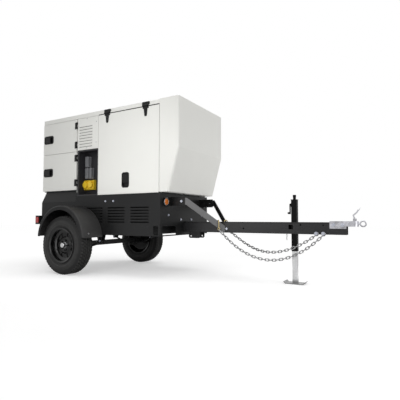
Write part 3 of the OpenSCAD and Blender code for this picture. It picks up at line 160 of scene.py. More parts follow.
class ShaderGraph:
    """The node tree of one material or world."""

    def __init__(self, tree: bpy.types.NodeTree) -> None:
        """Start from an empty tree."""
        self.tree = tree
        tree.nodes.clear()

    def make(self, kind: str, settings: Dict[str, Any], inputs: Dict[Any, Any]) -> bpy.types.Node:
        """Add a node.

        Args:
            kind: Blender's node type.
            settings: Properties set first; "stops" holds a ramp's positions and colours.
            inputs: Socket name or index to a number, colour or Signal.

        Returns:
            The new node.
        """
        node = self.tree.nodes.new(kind)
        for name, value in settings.items():
            if name == "stops":
                self._set_stops(node.color_ramp, value)
            else:
                setattr(node, name, value)
        for key, value in inputs.items():
            if isinstance(value, Signal):
                self.tree.links.new(value.socket, node.inputs[key])
            else:
                node.inputs[key].default_value = value
        return node

    def node(self, kind: str, settings: Dict[str, Any], inputs: Dict[Any, Any], out: Any = 0) -> Signal:
        """Add a node and take one of its outputs, by name or index."""
        return Signal(self, self.make(kind, settings, inputs).outputs[out])

    @staticmethod
    def _set_stops(ramp: bpy.types.ColorRamp, stops: Sequence[Tuple[float, float]]) -> None:
        """Give a ramp grey stops.

        Args:
            ramp: The ramp to fill.
            stops: Position and grey level of each stop, in order.
        """
        while len(ramp.elements) > len(stops):
            ramp.elements.remove(ramp.elements[-1])
        while len(ramp.elements) < len(stops):
            ramp.elements.new(1.0)
        for element, (position, level) in zip(ramp.elements, stops):
            element.position = position
            element.color = (level, level, level, 1.0)

    def place(self) -> Signal:
        """Position on the object, in metres."""
        return self.node("ShaderNodeTexCoord", {}, {}, "Object")

    def along(self, axis: str) -> Signal:
        """Place along the object's axis "X", "Y" or "Z", in metres."""
        return self.node("ShaderNodeSeparateXYZ", {}, {0: self.place()}, axis)

    def vector(self, operation: str, first: Union[Signal, Point], second: Union[Signal, Point]) -> Signal:
        """Add one Vector Math node, by Blender's name of the operation, and take its vector."""
        return self.node("ShaderNodeVectorMath", {"operation": operation}, {0: first, 1: second})

    def length(self, vector: Signal) -> Signal:
        """Length of a vector."""
        return self.node("ShaderNodeVectorMath", {"operation": "LENGTH"}, {0: vector}, "Value")

    def reach(self, axis: Point) -> Signal:
        """Distance in X and Z, in metres, from a crosswise axle through a point."""
        spoke = self.vector("MULTIPLY", self.vector("SUBTRACT", self.place(), axis), (1.0, 0.0, 1.0))
        return self.length(spoke)

    def facing(self, way: Point) -> Signal:
        """Cosine between the surface's normal and a direction of the object, of length one."""
        normal = self.node("ShaderNodeTexCoord", {}, {}, "Normal")
        return self.node("ShaderNodeVectorMath", {"operation": "DOT_PRODUCT"}, {0: normal, 1: way}, "Value")

    def noise(self, scale: float, detail: float = 3.0, rough: float = 0.55, stretch: Point = ALIKE) -> Signal:
        """Noise over the surface.

        Args:
            scale: Features per metre.
            detail: Octaves.
            rough: Weight of the fine octaves.
            stretch: Share of the scale along each axis.

        Returns:
            A value about 0.5.
        """
        place = self.place() if stretch == ALIKE else self.vector("MULTIPLY", self.place(), stretch)
        inputs = {"Vector": place, "Scale": scale, "Detail": detail, "Roughness": rough}
        return self.node("ShaderNodeTexNoise", {}, inputs, "Fac")

    def cells(self, scale: float) -> Signal:
        """Random grey from 0 to 1 per cell, as in plated spangle, with a number of cells per metre."""
        colour = self.node("ShaderNodeTexVoronoi", {}, {"Vector": self.place(), "Scale": scale}, "Color")
        return self.node("ShaderNodeSeparateColor", {}, {0: colour}, 0)

    def ramp(self, value: Signal, *stops: Tuple[float, float]) -> Signal:
        """Remap a value through grey stops, each a position and a level."""
        return self.node("ShaderNodeValToRGB", {"stops": stops}, {0: value})

    def blend(self, factor: Operand, first: Union[Colour, Signal], second: Union[Colour, Signal]) -> Signal:
        """Mix two colours by the share of the second."""
        return self.node("ShaderNodeMix", {"data_type": "RGBA"}, {0: factor, 6: first, 7: second}, 2)

    def bump(self, height: Signal, depth: float, strength: float = 1.0) -> Signal:
        """Normal bent by a height from 0 to 1, with its depth in metres and the share that shows."""
        return self.node("ShaderNodeBump", {}, {"Height": height, "Distance": depth, "Strength": strength}, "Normal")

    def grain(self, scale: float, depth: float, detail: float = 2.0, strength: float = 0.6) -> Signal:
        """Normal of a fine, even skin, by grains per metre and their depth in metres."""
        return self.bump(self.noise(scale, detail), depth, strength)

    def shades(self, share: Operand, colour: Colour, dark: float, light: float) -> Signal:
        """Colour that varies between a darker and a lighter shade, each given by its factor."""
        return self.blend(share, scaled(colour, dark), scaled(colour, light))

    def surface(self, **inputs: Any) -> None:
        """Add the principled shader and the material's output.

        Args:
            inputs: Socket names, with underscores for spaces, to their values.
        """
        named = {key.replace("_", " "): value for key, value in inputs.items()}
        shader = self.node("ShaderNodeBsdfPrincipled", {}, named, "BSDF")
        self.make("ShaderNodeOutputMaterial", {}, {"Surface": shader})


def rgb(red: float, green: float, blue: float) -> Colour:
    """Opaque colour from linear channels."""
    return (red, green, blue, 1.0)


def scaled(colour: Colour, factor: float) -> Colour:
    """Colour made lighter or darker by a factor."""
    return (colour[0] * factor, colour[1] * factor, colour[2] * factor, 1.0)


@dataclass(frozen=True)
class Finish:
    """A surface finish that makes its material once."""

    _made: ClassVar[Dict["Finish", bpy.types.Material]] = {}
    name: str
    colour: Colour

    def material(self) -> bpy.types.Material:
        """Make the material at the first call.

        Returns:
            The finish's one material.
        """
        if self not in Finish._made:
            material = bpy.data.materials.new(self.name)
            material.use_nodes = True
            self.paint(ShaderGraph(material.node_tree))
            Finish._made[self] = material
        return Finish._made[self]

    def paint(self, graph: ShaderGraph) -> None:
        """Fill the material's empty node tree."""
        raise NotImplementedError


@dataclass(frozen=True)
class PowderCoat(Finish):
    """Baked paint with a faint orange peel, road dust that gathers low down, and, where asked, painted light on the
    faces that turn towards the front.
    """

    dust: Colour
    roughness: float = 0.42
    specular: float = 0.4
    dust_top: float = 1.0
    dust_share: float = 0.2
    # Share of painted light on the faces that turn towards the way below.
    front_light_share: float = 0.0
    front_light_way: Point = (0.94, 0.0, 0.34)
    cloud_scale: float = 2.2

    def paint(self, graph: ShaderGraph) -> None:
        """Fill the material's node tree.

        Args:
            graph: The empty tree.
        """
        clouds = graph.noise(self.cloud_scale, detail=4.0)
        fine = graph.noise(SPECK_SCALE, detail=5.0, rough=0.65)
        low = graph.ramp(graph.along("Z") / self.dust_top, (0.25, 1.0), (1.0, 0.0))
        dust = low * graph.ramp(fine, (0.42, 0.0), (0.75, 1.0)) * self.dust_share
        # Painted light: faces that turn towards the given way are lightened towards the dust colour, standing in for
        # the light from the lamps in front; from here the dust share also carries this painted light.
        if self.front_light_share:
            facing = graph.ramp(graph.facing(self.front_light_way), (0.4, 0.0), (0.95, 1.0))
            dust = dust + facing * (0.75 + 0.5 * clouds) * self.front_light_share
        base = graph.shades(clouds, self.colour, dark=0.965, light=1.03)
        graph.surface(
            Base_Color=graph.blend(dust, base, self.dust),
            Roughness=self.roughness - 0.06 + 0.12 * fine + 0.3 * dust,
            Specular_IOR_Level=self.specular,
            Normal=graph.grain(PEEL_SCALE, PEEL_DEPTH),
        )


@dataclass(frozen=True)
class TubePaint(Finish):
    """Black paint on a level square tube, with painted shade in bands along the top and bottom edges, where the
    rounded corners turn away from the light.
    """

    # Colour of the painted shade at the top and bottom edges.
    edge: Colour
    low: float
    high: float

    def paint(self, graph: ShaderGraph) -> None:
        """Fill the material's node tree.

        Args:
            graph: The empty tree.
        """
        fine = graph.noise(SPECK_SCALE, detail=5.0, rough=0.65)
        height = (graph.along("Z") - self.low) / (self.high - self.low)
        # Painted shade: bands at the top and bottom of the tube blend to the darker edge colour.
        edge_shade = graph.ramp(height, (0.0, 0.8), (0.05, 0.5), (0.1, 0.0), (0.84, 0.0), (0.91, 0.9), (1.0, 1.0))
        graph.surface(
            Base_Color=graph.blend(edge_shade, self.colour, self.edge),
            Roughness=0.3 + 0.12 * fine + 0.15 * edge_shade,
            Specular_IOR_Level=0.36,
            Normal=graph.grain(PEEL_SCALE, PEEL_DEPTH),
        )


@dataclass(frozen=True)
class SideLitPaint(Finish):
    """Black paint with painted light: the right side forward of a given X is painted lighter grey, standing in for the
    light that the near brace catches.
    """

    # Lighter colour of the painted light.
    lit_colour: Colour
    start_x: float
    mottle_scale: float = 24.0

    def paint(self, graph: ShaderGraph) -> None:
        """Fill the material's node tree.

        Args:
            graph: The empty tree.
        """
        mottle = graph.noise(self.mottle_scale, detail=5.0, rough=0.6)
        # Painted light: the right side (negative Y), forward of start_x, is blended to the lighter colour, mottled by
        # noise.
        lit_side = graph.ramp(0.5 - 2.0 * graph.along("Y"), (0.45, 0.0), (0.6, 1.0))
        lit_reach = graph.ramp(0.5 + 10.0 * (graph.along("X") - self.start_x), (0.45, 0.0), (0.55, 1.0))
        side_light = lit_side * lit_reach * (0.8 + 0.3 * mottle)
        graph.surface(
            Base_Color=graph.blend(side_light, self.colour, self.lit_colour),
            Roughness=0.4 + 0.14 * mottle,
            Specular_IOR_Level=0.25,
            Normal=graph.grain(PEEL_SCALE, PEEL_DEPTH),
        )


@dataclass(frozen=True)
class PlatedSteel(Finish):
    """Zinc-plated steel with a faint spangle, drawn streaks and dull patches; the streaks also stand as painted bands
    of sheen and the patches as painted dark reflections.
    """

    # Colour of the dull patches, which also serve as painted dark reflections.
    dull: Colour
    roughness: float = 0.3
    spangle: float = 190.0
    streak: Point = (1.0, 1.0, 0.06)
    patch_share: float = 0.4
    # Height up to which the colour darkens towards the bottom, or 0 for none.
    low_darkening_top: float = 0.0
    patch_scale: float = 14.0
    streak_scale: float = 110.0

    def paint(self, graph: ShaderGraph) -> None:
        """Fill the material's node tree.

        Args:
            graph: The empty tree.
        """
        # Dull patches, which also stand in for dark reflections as painted shade.
        dull_and_shade_patches = graph.ramp(graph.noise(self.patch_scale, detail=5.0, rough=0.6), (0.42, 0.0), (0.75, 1.0))
        # Drawn streaks, which also stand in for bands of reflected light as painted sheen.
        streaks_and_sheen = graph.noise(self.streak_scale, rough=0.6, stretch=self.streak)
        cells = graph.cells(self.spangle)
        base = graph.shades(0.35 * cells + 0.65 * streaks_and_sheen, self.colour, dark=0.8, light=1.12)
        # Darker towards the bottom, up to the given height.
        if self.low_darkening_top:
            low_darkening = graph.ramp(graph.along("Z") / self.low_darkening_top, (0.5, 1.0), (1.0, 0.0))
            base = graph.blend(low_darkening * (0.75 + 0.3 * dull_and_shade_patches), base, scaled(self.dull, 0.35))
        graph.surface(
            Base_Color=graph.blend(dull_and_shade_patches * self.patch_share, base, self.dull),
            Metallic=1.0,
            Roughness=self.roughness + 0.06 * cells + 0.14 * dull_and_shade_patches,
            Normal=graph.grain(300.0, depth=0.00015, detail=3.0, strength=0.5),
        )


@dataclass(frozen=True)
class HubSteel(Finish):
    """Bright dust cap in a dark painted hub."""

    hub: Colour
    axis: Point
    cap_r: float
    scuff_scale: float = 60.0

    def paint(self, graph: ShaderGraph) -> None:
        """Fill the material's node tree.

        Args:
            graph: The empty tree.
        """
        outside = graph.ramp(graph.reach(self.axis) / (2.0 * self.cap_r), (0.5, 0.0), (0.54, 1.0))
        scuffs = graph.noise(self.scuff_scale, detail=4.0, rough=0.6)
        cap = graph.shades(scuffs, self.colour, dark=0.8, light=1.15)
        graph.surface(
            Base_Color=graph.blend(outside, cap, self.hub),
            Metallic=1.0 - 0.6 * outside,
            Roughness=0.16 + 0.12 * scuffs + 0.14 * outside,
            Normal=graph.grain(240.0, depth=0.0001, strength=0.5),
        )


@dataclass(frozen=True)
class TyreRubber(Finish):
    """Black tyre rubber with moulded rings on its walls and a dark crown."""

    bloom: Colour
    axis: Point
    outer: float
    bloom_share: float = 0.8
    ring_pitch: float = 0.0065
    dust_scale: float = 17.0
    skin_scale: float = 520.0

    def paint(self, graph: ShaderGraph) -> None:
        """Fill the material's node tree.

        Args:
            graph: The empty tree.
        """
        reach = graph.reach(self.axis)
        share = reach / self.outer
        dust = graph.ramp(graph.noise(self.dust_scale, detail=6.0, rough=0.7), (0.35, 0.35), (0.8, 1.0))
        wall = graph.ramp(share, (0.56, 0.1), (0.585, 1.0), (0.6, 0.3), (0.68, 0.36), (0.7, 1.0), (0.72, 0.45),
                          (0.83, 0.6), (0.86, 0.2), (0.93, 0.05))
        rings = (reach * (2.0 * math.pi / self.ring_pitch)).sine()
        ribbed = graph.ramp(share, (0.6, 0.0), (0.64, 1.0), (0.7, 0.0), (0.84, 0.0), (0.88, 1.0), (0.92, 0.0))
        skin = graph.noise(self.skin_scale) * 0.25 + rings * ribbed
        graph.surface(
            Base_Color=graph.blend(dust * wall * self.bloom_share, self.colour, self.bloom),
            Roughness=0.5 + 0.25 * dust,
            Specular_IOR_Level=0.3,
            Normal=graph.bump(skin, depth=0.0008, strength=0.6),
        )


@dataclass(frozen=True)
class MouldedPlastic(Finish):
    """Moulded plastic with a fine grain."""

    roughness: float = 0.45
    grain: float = 900.0
    specular: float = 0.4
    wear_scale: float = 45.0

    def paint(self, graph: ShaderGraph) -> None:
        """Fill the material's node tree.

        Args:
            graph: The empty tree.
        """
        worn = graph.noise(self.wear_scale, detail=4.0)
        graph.surface(
            Base_Color=graph.shades(worn, self.colour, dark=0.88, light=1.12),
            Roughness=self.roughness - 0.07 + 0.14 * worn,
            Specular_IOR_Level=self.specular,
            Normal=graph.grain(self.grain, PEEL_DEPTH),
        )


@dataclass(frozen=True)
class LampLens(Finish):
    """Coloured lamp lens with moulded prisms under a clear coat."""

    prism: float = 190.0
    depth_scale: float = 60.0

    def paint(self, graph: ShaderGraph) -> None:
        """Fill the material's node tree.

        Args:
            graph: The empty tree.
        """
        wave = graph.node(
            "ShaderNodeTexWave", {"bands_direction": "Z"}, {"Vector": graph.place(), "Scale": self.prism}, "Fac"
        )
        depth = graph.noise(self.depth_scale, detail=2.0)
        graph.surface(
            Base_Color=graph.shades(wave * 0.6 + 0.2 * depth, self.colour, dark=0.55, light=1.15),
            Roughness=0.16 + 0.08 * depth,
            Coat_Weight=0.25,
            Coat_Roughness=0.05,
            Normal=graph.bump(wave, depth=0.0006, strength=0.5),
        )


@dataclass(frozen=True)
class Casting(Finish):
    """Painted casting with a sandy skin and oily patches."""

    metallic: float = 0.25
    oil_scale: float = 9.0

    def paint(self, graph: ShaderGraph) -> None:
        """Fill the material's node tree.

        Args:
            graph: The empty tree.
        """
        oil = graph.ramp(graph.noise(self.oil_scale, detail=6.0, rough=0.6), (0.45, 0.0), (0.7, 1.0))
        graph.surface(
            Base_Color=graph.blend(oil, self.colour, scaled(self.colour, 0.55)),
            Metallic=self.metallic,
            Roughness=0.62 - 0.25 * oil,
            Normal=graph.grain(260.0, depth=0.0006, detail=3.0),
        )


ROAD_DUST = rgb(0.09, 0.085, 0.075)
WHITE_PAINT = PowderCoat("white_powder_coat", rgb(0.8, 0.8, 0.765), rgb(0.42, 0.39, 0.33), roughness=0.4,
                         specular=0.35, dust_top=1.25, dust_share=0.06)
BLACK_PAINT = PowderCoat("black_powder_coat", rgb(0.009, 0.0092, 0.0096), ROAD_DUST, roughness=0.4,
                         specular=0.2, dust_top=0.95, dust_share=0.08)
# The fender's share of painted light lightens its front curve towards its grey dust colour, in place of the light that
# falls on it.
FENDER_PAINT = PowderCoat("fender_paint", rgb(0.008, 0.008, 0.0083), rgb(0.15, 0.148, 0.145), roughness=0.5,
                          specular=0.2, dust_top=0.8, dust_share=0.03, front_light_share=0.26)
# A darker copy of the black paint on the jack, standing in for the shade where its tube shows through the tongue's
# window.
JACK_PAINT = PowderCoat("jack_paint", rgb(0.0035, 0.0035, 0.0038), ROAD_DUST, roughness=0.5, specular=0.1,
                        dust_top=0.95, dust_share=0.02)
RIM_PAINT = PowderCoat("rim_paint", rgb(0.002, 0.002, 0.0021), ROAD_DUST, roughness=0.1, specular=0.4,
                       dust_top=0.6, dust_share=0.015)
# A lit copy of the black paint: the tongue is painted lighter than the body's black as painted light, with painted
# shade at its edges.
TONGUE_PAINT = TubePaint("tongue_paint", rgb(0.0185, 0.0185, 0.0196), rgb(0.004, 0.004, 0.0044), low=0.503, high=0.623)
# The near brace is painted lighter than the far one as painted light.
BRACE_PAINT = SideLitPaint("brace_paint", rgb(0.009, 0.009, 0.0095), rgb(0.18, 0.18, 0.183), start_x=0.218)
ZINC = PlatedSteel("bright_zinc", rgb(0.58, 0.585, 0.59), rgb(0.2, 0.2, 0.2), roughness=0.24)
BOLT_ZINC = PlatedSteel("bolt_zinc", rgb(0.62, 0.64, 0.71), rgb(0.26, 0.28, 0.36), roughness=0.2, spangle=320.0,
                        streak=ALIKE)
# Most of the coupler is darkened by patches and streaked along its length: painted dark reflections and painted
# highlights that stand in for the contrast of its reflections.
COUPLER_ZINC = PlatedSteel("coupler_zinc", rgb(0.66, 0.66, 0.7), rgb(0.1, 0.098, 0.09), roughness=0.2, spangle=60.0,
                           streak=(0.08, 1.0, 1.0), patch_share=0.75)
# A lighter copy of the zinc, standing in for the highlight on the jack's leg as painted light; its vertical streaks
# are painted sheen, and it darkens towards the foot.
LEG_ZINC = PlatedSteel("leg_zinc", rgb(0.76, 0.765, 0.77), rgb(0.5, 0.5, 0.5), roughness=0.28, spangle=120.0,
                       streak=(1.0, 1.0, 0.03), low_darkening_top=0.05)
# A darker copy of the zinc, standing in for the dark reflections in the chain links as painted shade.
LINK_ZINC = PlatedSteel("link_zinc", rgb(0.34, 0.34, 0.345), rgb(0.16, 0.16, 0.16), roughness=0.24, spangle=260.0,
                        streak=ALIKE)
YELLOW_ZINC = PlatedSteel("yellow_zinc", rgb(0.5, 0.4, 0.2), rgb(0.28, 0.2, 0.09), roughness=0.28, streak=ALIKE)
MUFFLER_STEEL = PlatedSteel("muffler_steel", rgb(0.36, 0.33, 0.3), rgb(0.2, 0.14, 0.1), roughness=0.45, spangle=40.0)
# A lighter copy of the tyre rubber for the tread blocks: partly scuffing, partly painted light on the lit block tops.
BLOCK_RUBBER = MouldedPlastic("block_rubber", rgb(0.034, 0.0337, 0.033), roughness=0.7, grain=700.0, specular=0.2)
BLACK_PLASTIC = MouldedPlastic("black_plastic", rgb(0.007, 0.007, 0.0073), roughness=0.4, specular=0.2)
SEAL_RUBBER = MouldedPlastic("seal_rubber", rgb(0.005, 0.005, 0.0052), roughness=0.7, grain=600.0, specular=0.12)
LOUVRE_SHADE = MouldedPlastic("louvre_shade", rgb(0.26, 0.26, 0.25), roughness=0.6, grain=500.0, specular=0.2)
DARK_LINING = MouldedPlastic("dark_lining", rgb(0.024, 0.024, 0.027), roughness=0.6, grain=500.0, specular=0.25)
FRAME_PLASTIC = MouldedPlastic("frame_plastic", rgb(0.03, 0.03, 0.032), roughness=0.4, grain=700.0, specular=0.3)
GREY_PLASTIC = MouldedPlastic("grey_plastic", rgb(0.2, 0.205, 0.215), roughness=0.42)
PANEL_GREY = MouldedPlastic("panel_grey", rgb(0.14, 0.15, 0.155), roughness=0.5)
YELLOW_PLASTIC = MouldedPlastic("yellow_plastic", rgb(0.88, 0.6, 0.035), roughness=0.36)
RED_PLASTIC = MouldedPlastic("red_plastic", rgb(0.5, 0.012, 0.01), roughness=0.3)
RED_LENS = LampLens("red_lens", rgb(0.52, 0.008, 0.01))
AMBER_LENS = LampLens("amber_lens", rgb(0.8, 0.2, 0.012))
ENGINE_IRON = Casting("engine_iron", rgb(0.085, 0.09, 0.095))
ALTERNATOR_BLUE = Casting("alternator_paint", rgb(0.045, 0.1, 0.16), metallic=0.1)
CORE_METAL = Casting("core_metal", rgb(0.05, 0.052, 0.055), metallic=0.6)


def dress(finish: Finish, *names: str, edge: float = 0.0) -> None:
    """Give CAD nodes a finish and soften their edges.

    Args:
        finish: The finish.
        names: Nodes that take it.
        edge: Width of the rounded edges in metres, or 0 for none.
    """
    for name in names:
        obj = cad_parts[name]
        obj.data.materials.clear()
        obj.data.materials.append(finish.material())
        if edge:
            soften(obj, edge)
        LOG.info("dressed %s in %s", name, finish.name)


def soften(obj: bpy.types.Object, edge: float) -> None:
    """Round an object's sharp edges with modifiers.

    Args:
        obj: The object.
        edge: Width of the rounding in metres.
    """
    weld = obj.modifiers.new("weld_seams", "WELD")
    weld.merge_threshold = WELD_GAP
    flatten = obj.modifiers.new("join_flats", "DECIMATE")
    flatten.decimate_type = "DISSOLVE"
    flatten.angle_limit = FLAT_ANGLE
    bevel = obj.modifiers.new("edge_round", "BEVEL")
    bevel.width = edge
    bevel.segments = BEVEL_STEPS
    bevel.limit_method = "ANGLE"
    bevel.angle_limit = BEVEL_ANGLE
    bevel.use_clamp_overlap = True
    bevel.harden_normals = True


def add_piece(name: str, shape: bmesh.types.BMesh, finish: Finish) -> bpy.types.Object:
    """Close a bmesh and turn it into a piece with a finish.

    Args:
        name: Name of the piece.
        shape: Its mesh, which is freed.
        finish: Its finish.

    Returns:
        The new object, which rides no body yet.
    """
    bmesh.ops.remove_doubles(shape, verts=shape.verts[:], dist=SAME_PLACE)
    bmesh.ops.holes_fill(shape, edges=[edge for edge in shape.edges if edge.is_boundary], sides=0)
    bmesh.ops.recalc_face_normals(shape, faces=shape.faces[:])
    mesh = bpy.data.meshes.new(name)
    shape.to_mesh(mesh)
    shape.free()
    mesh.materials.append(finish.material())
    mesh.polygons.foreach_set("use_smooth", [True] * len(mesh.polygons))
    mesh.set_sharp_from_angle(angle=SHARP_ANGLE)
    obj = bpy.data.objects.new(name, mesh)
    bpy.context.scene.collection.objects.link(obj)
    LOG.info("built %s in %s", name, finish.name)
    return obj


def add_mesh(name: str, shape: bmesh.types.BMesh, finish: Finish, body: Body) -> bpy.types.Object:
    """Turn a bmesh into a piece that rides a body.

    Args:
        name: Name of the piece.
        shape: Its mesh, which is freed.
        finish: Its finish.
        body: The body that carries it.

    Returns:
        The new object.
    """
    obj = add_piece(name, shape, finish)
    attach(obj, body.value)
    return obj


def skin(shape: bmesh.types.BMesh, rings: Sequence[Ring], looped: bool = False, strip: bool = False,
         capped: bool = False) -> None:
    """Join each ring of points to the next with faces.

    Args:
        shape: Mesh that takes the faces.
        rings: Rings with the same number of points, in order.
        looped: Whether the last ring joins the first.
        strip: Whether a ring's two ends stay apart.
        capped: Whether the first and the last ring each get a face.
    """
    count = len(rings[0])
    for here, there in zip(rings, [*rings[1:], rings[0]] if looped else rings[1:]):
        for i in range(count - 1 if strip else count):
            j = (i + 1) % count
            shape.faces.new((here[i], here[j], there[j], there[i]))
    if capped:
        shape.faces.new(rings[0])
        shape.faces.new(rings[-1][::-1])


def chamfered(x0: float, x1: float, y0: float, y1: float, cut: float) -> Profile:
    """Outline of a rectangle whose corners are cut off."""
    return ((x0, y0 + cut), (x0 + cut, y0), (x1 - cut, y0), (x1, y0 + cut), (x1, y1 - cut), (x1 - cut, y1),
            (x0 + cut, y1), (x0, y1 - cut))


def revolve(shape: bmesh.types.BMesh, profile: Sequence[Pair], steps: int, closed: bool) -> None:
    """Turn a profile of radius and height about the Z axis.

    Args:
        shape: Mesh that takes the faces.
        profile: Radius and height of each point.
        steps: Faces round the axis.
        closed: Whether the profile's last point joins its first.
    """
    rings = []
    for step in range(steps):
        angle = 2.0 * math.pi * step / steps
        turn = (math.cos(angle), math.sin(angle))
        rings.append([shape.verts.new((r * turn[0], r * turn[1], h)) for r, h in profile])
    skin(shape, rings, looped=True, strip=not closed)


def turned(shape: bmesh.types.BMesh, profile: Sequence[Pair], spot: Vector, out: Vector, steps: int = 20,
           closed: bool = False) -> None:
    """Add a turned form that stands on a surface.

    Args:
        shape: Mesh that takes the form.
        profile: Radius and height of each point.
        spot: Middle of its seat.
        out: Direction that it stands in.
        steps: Faces round its axis.
        closed: Whether the profile's last point joins its first.
    """
    start = len(shape.verts)
    revolve(shape, profile, steps, closed)
    shape.verts.ensure_lookup_table()
    turn = Matrix.Translation(spot) @ out.to_track_quat("Z", "Y").to_matrix().to_4x4()
    bmesh.ops.transform(shape, matrix=turn, verts=shape.verts[start:])


def bar(shape: bmesh.types.BMesh, section: Sequence[Pair], start: Vector, along: Vector, across: Vector,
        out: Vector) -> None:
    """Push a section, measured across and out, from a start along the whole way to its end."""
    ends = [[shape.verts.new(start + along * share + across * a + out * b) for a, b in section] for share in (0, 1)]
    skin(shape, ends, capped=True)


def wire(shape: bmesh.types.BMesh, points: Sequence[Vector], radius: float, side: Vector, steps: int = 10) -> None:
    """Bend a round wire along points that lie in one plane.

    Args:
        shape: Mesh that takes the wire.
        points: Its middle line.
        radius: Radius of the wire.
        side: Direction square to the plane.
        steps: Faces round the wire.
    """
    rings = []
    last = len(points) - 1
    turns = [2.0 * math.pi * step / steps for step in range(steps)]
    for i, point in enumerate(points):
        ahead = (points[min(i + 1, last)] - points[max(i - 1, 0)]).normalized()
        lift = side.cross(ahead)
        rings.append([shape.verts.new(point + (side * math.cos(t) + lift * math.sin(t)) * radius) for t in turns])
    skin(shape, rings, capped=True)


@dataclass(frozen=True)
class Lamp:
    """Square soft lamp, with its side in metres and its power in watts."""

    name: str
    spot: Point
    target: Point
    size: float
    power: float
    mirrored: bool = True

    def hang(self) -> None:
        """Hang the lamp out of the camera's sight, and out of bright metal's unless it is mirrored."""
        data = bpy.data.lights.new(self.name, "AREA")
        data.size = self.size
        data.energy = self.power
        lamp = bpy.data.objects.new(self.name, data)
        lamp.location = self.spot
        lamp.rotation_euler = (Vector(self.target) - Vector(self.spot)).to_track_quat("-Z", "Y").to_euler()
        lamp.visible_camera = False
        lamp.visible_glossy = self.mirrored
        bpy.context.scene.collection.objects.link(lamp)


@dataclass
class Studio:
    """Pale floor, soft lamps and the camera of the photograph."""

    lens: float = 32.76
    sensor: float = 36.0
    spot: Point = (2.3285, -3.733, 0.660)
    azimuth: float = 29.521
    pitch: float = 2.906
    floor_size: float = 60.0
    floor_shade: float = 0.94
    ambient: float = 0.45
    fade_start: float = 2.4
    fade_end: float = 6.0
    floor_glow: float = 2.8
    near_glow: float = 0.16
    far_glow: float = 0.24
    lamps: Tuple[Lamp, ...] = (
        Lamp("key_lamp", (-0.08, -2.0, 1.32), (-0.12, -0.5, 1.35), size=1.2, power=13.2),
        Lamp("low_lamp", (-1.7, -2.3, 0.35), (-1.5, -0.5, 1.0), size=0.6, power=2.2),
        Lamp("hood_lamp", (1.5, 0.9, 0.1), (0.2, 0.1, 1.05), size=1.0, power=8.5, mirrored=False),
        Lamp("front_lamp", (5.0, -1.6, 1.3), (0.0, -0.2, 1.0), size=3.4, power=48.0),
        Lamp("top_lamp", (-0.3, 0.4, 6.5), (-0.3, 0.2, 0.0), size=5.0, power=130.0),
    )

    def build(self) -> None:
        """Make the whole studio."""
        self.floor()
        self.sky()
        for lamp in self.lamps:
            lamp.hang()
        self.camera()

    def floor(self) -> None:
        """Lay the floor, which is white to the camera and keeps the shadow."""
        half = self.floor_size / 2.0
        mesh = bpy.data.meshes.new("floor")
        corners = [(-half, -half, 0.0), (half, -half, 0.0), (half, half, 0.0), (-half, half, 0.0)]
        mesh.from_pydata(corners, [], [(0, 1, 2, 3)])
        material = bpy.data.materials.new("studio_floor")
        material.use_nodes = True
        graph = ShaderGraph(material.node_tree)
        shade = self.floor_shade
        matt = graph.node("ShaderNodeBsdfDiffuse", {}, {"Color": rgb(shade, shade, shade)})
        glow = graph.node("ShaderNodeEmission", {}, {"Color": WHITE, "Strength": self.floor_glow})
        seen = graph.node("ShaderNodeLightPath", {}, {}, "Is Camera Ray")
        away = graph.length(graph.place()) / self.fade_end
        far = graph.ramp(away, (self.fade_start / self.fade_end, self.near_glow), (1.0, self.far_glow))
        mixed = graph.node("ShaderNodeMixShader", {}, {0: seen * far, 1: matt, 2: glow})
        graph.make("ShaderNodeOutputMaterial", {}, {"Surface": mixed})
        mesh.materials.append(material)
        floor = bpy.data.objects.new("floor", mesh)
        bpy.context.scene.collection.objects.link(floor)

    def sky(self) -> None:
        """White to the eye and in reflections, dimmer as a light."""
        world = bpy.data.worlds.new("studio")
        world.use_nodes = True
        graph = ShaderGraph(world.node_tree)
        path = graph.make("ShaderNodeLightPath", {}, {})
        seen, glossy, through = (Signal(graph, path.outputs[f"Is {kind} Ray"])
                                 for kind in ("Camera", "Glossy", "Transmission"))
        shown = (seen + glossy + through).at_most(1.0)
        soft = graph.node("ShaderNodeBackground", {}, {"Color": WHITE, "Strength": self.ambient})
        white = graph.node("ShaderNodeBackground", {}, {"Color": WHITE, "Strength": 1.0})
        mixed = graph.node("ShaderNodeMixShader", {}, {0: shown, 1: soft, 2: white})
        graph.make("ShaderNodeOutputWorld", {}, {"Surface": mixed})
        bpy.context.scene.world = world

    def camera(self) -> None:
        """Set the camera at the photograph's viewpoint."""
        data = bpy.data.cameras.new("camera")
        data.sensor_width = self.sensor
        data.lens = self.lens
        camera = bpy.data.objects.new("camera", data)
        camera.location = self.spot
        camera.rotation_euler = (math.radians(90.0 + self.pitch), 0.0, math.radians(self.azimuth))
        bpy.context.scene.collection.objects.link(camera)
        bpy.context.scene.camera = camera
        bpy.context.scene.view_settings.view_transform = "Standard"


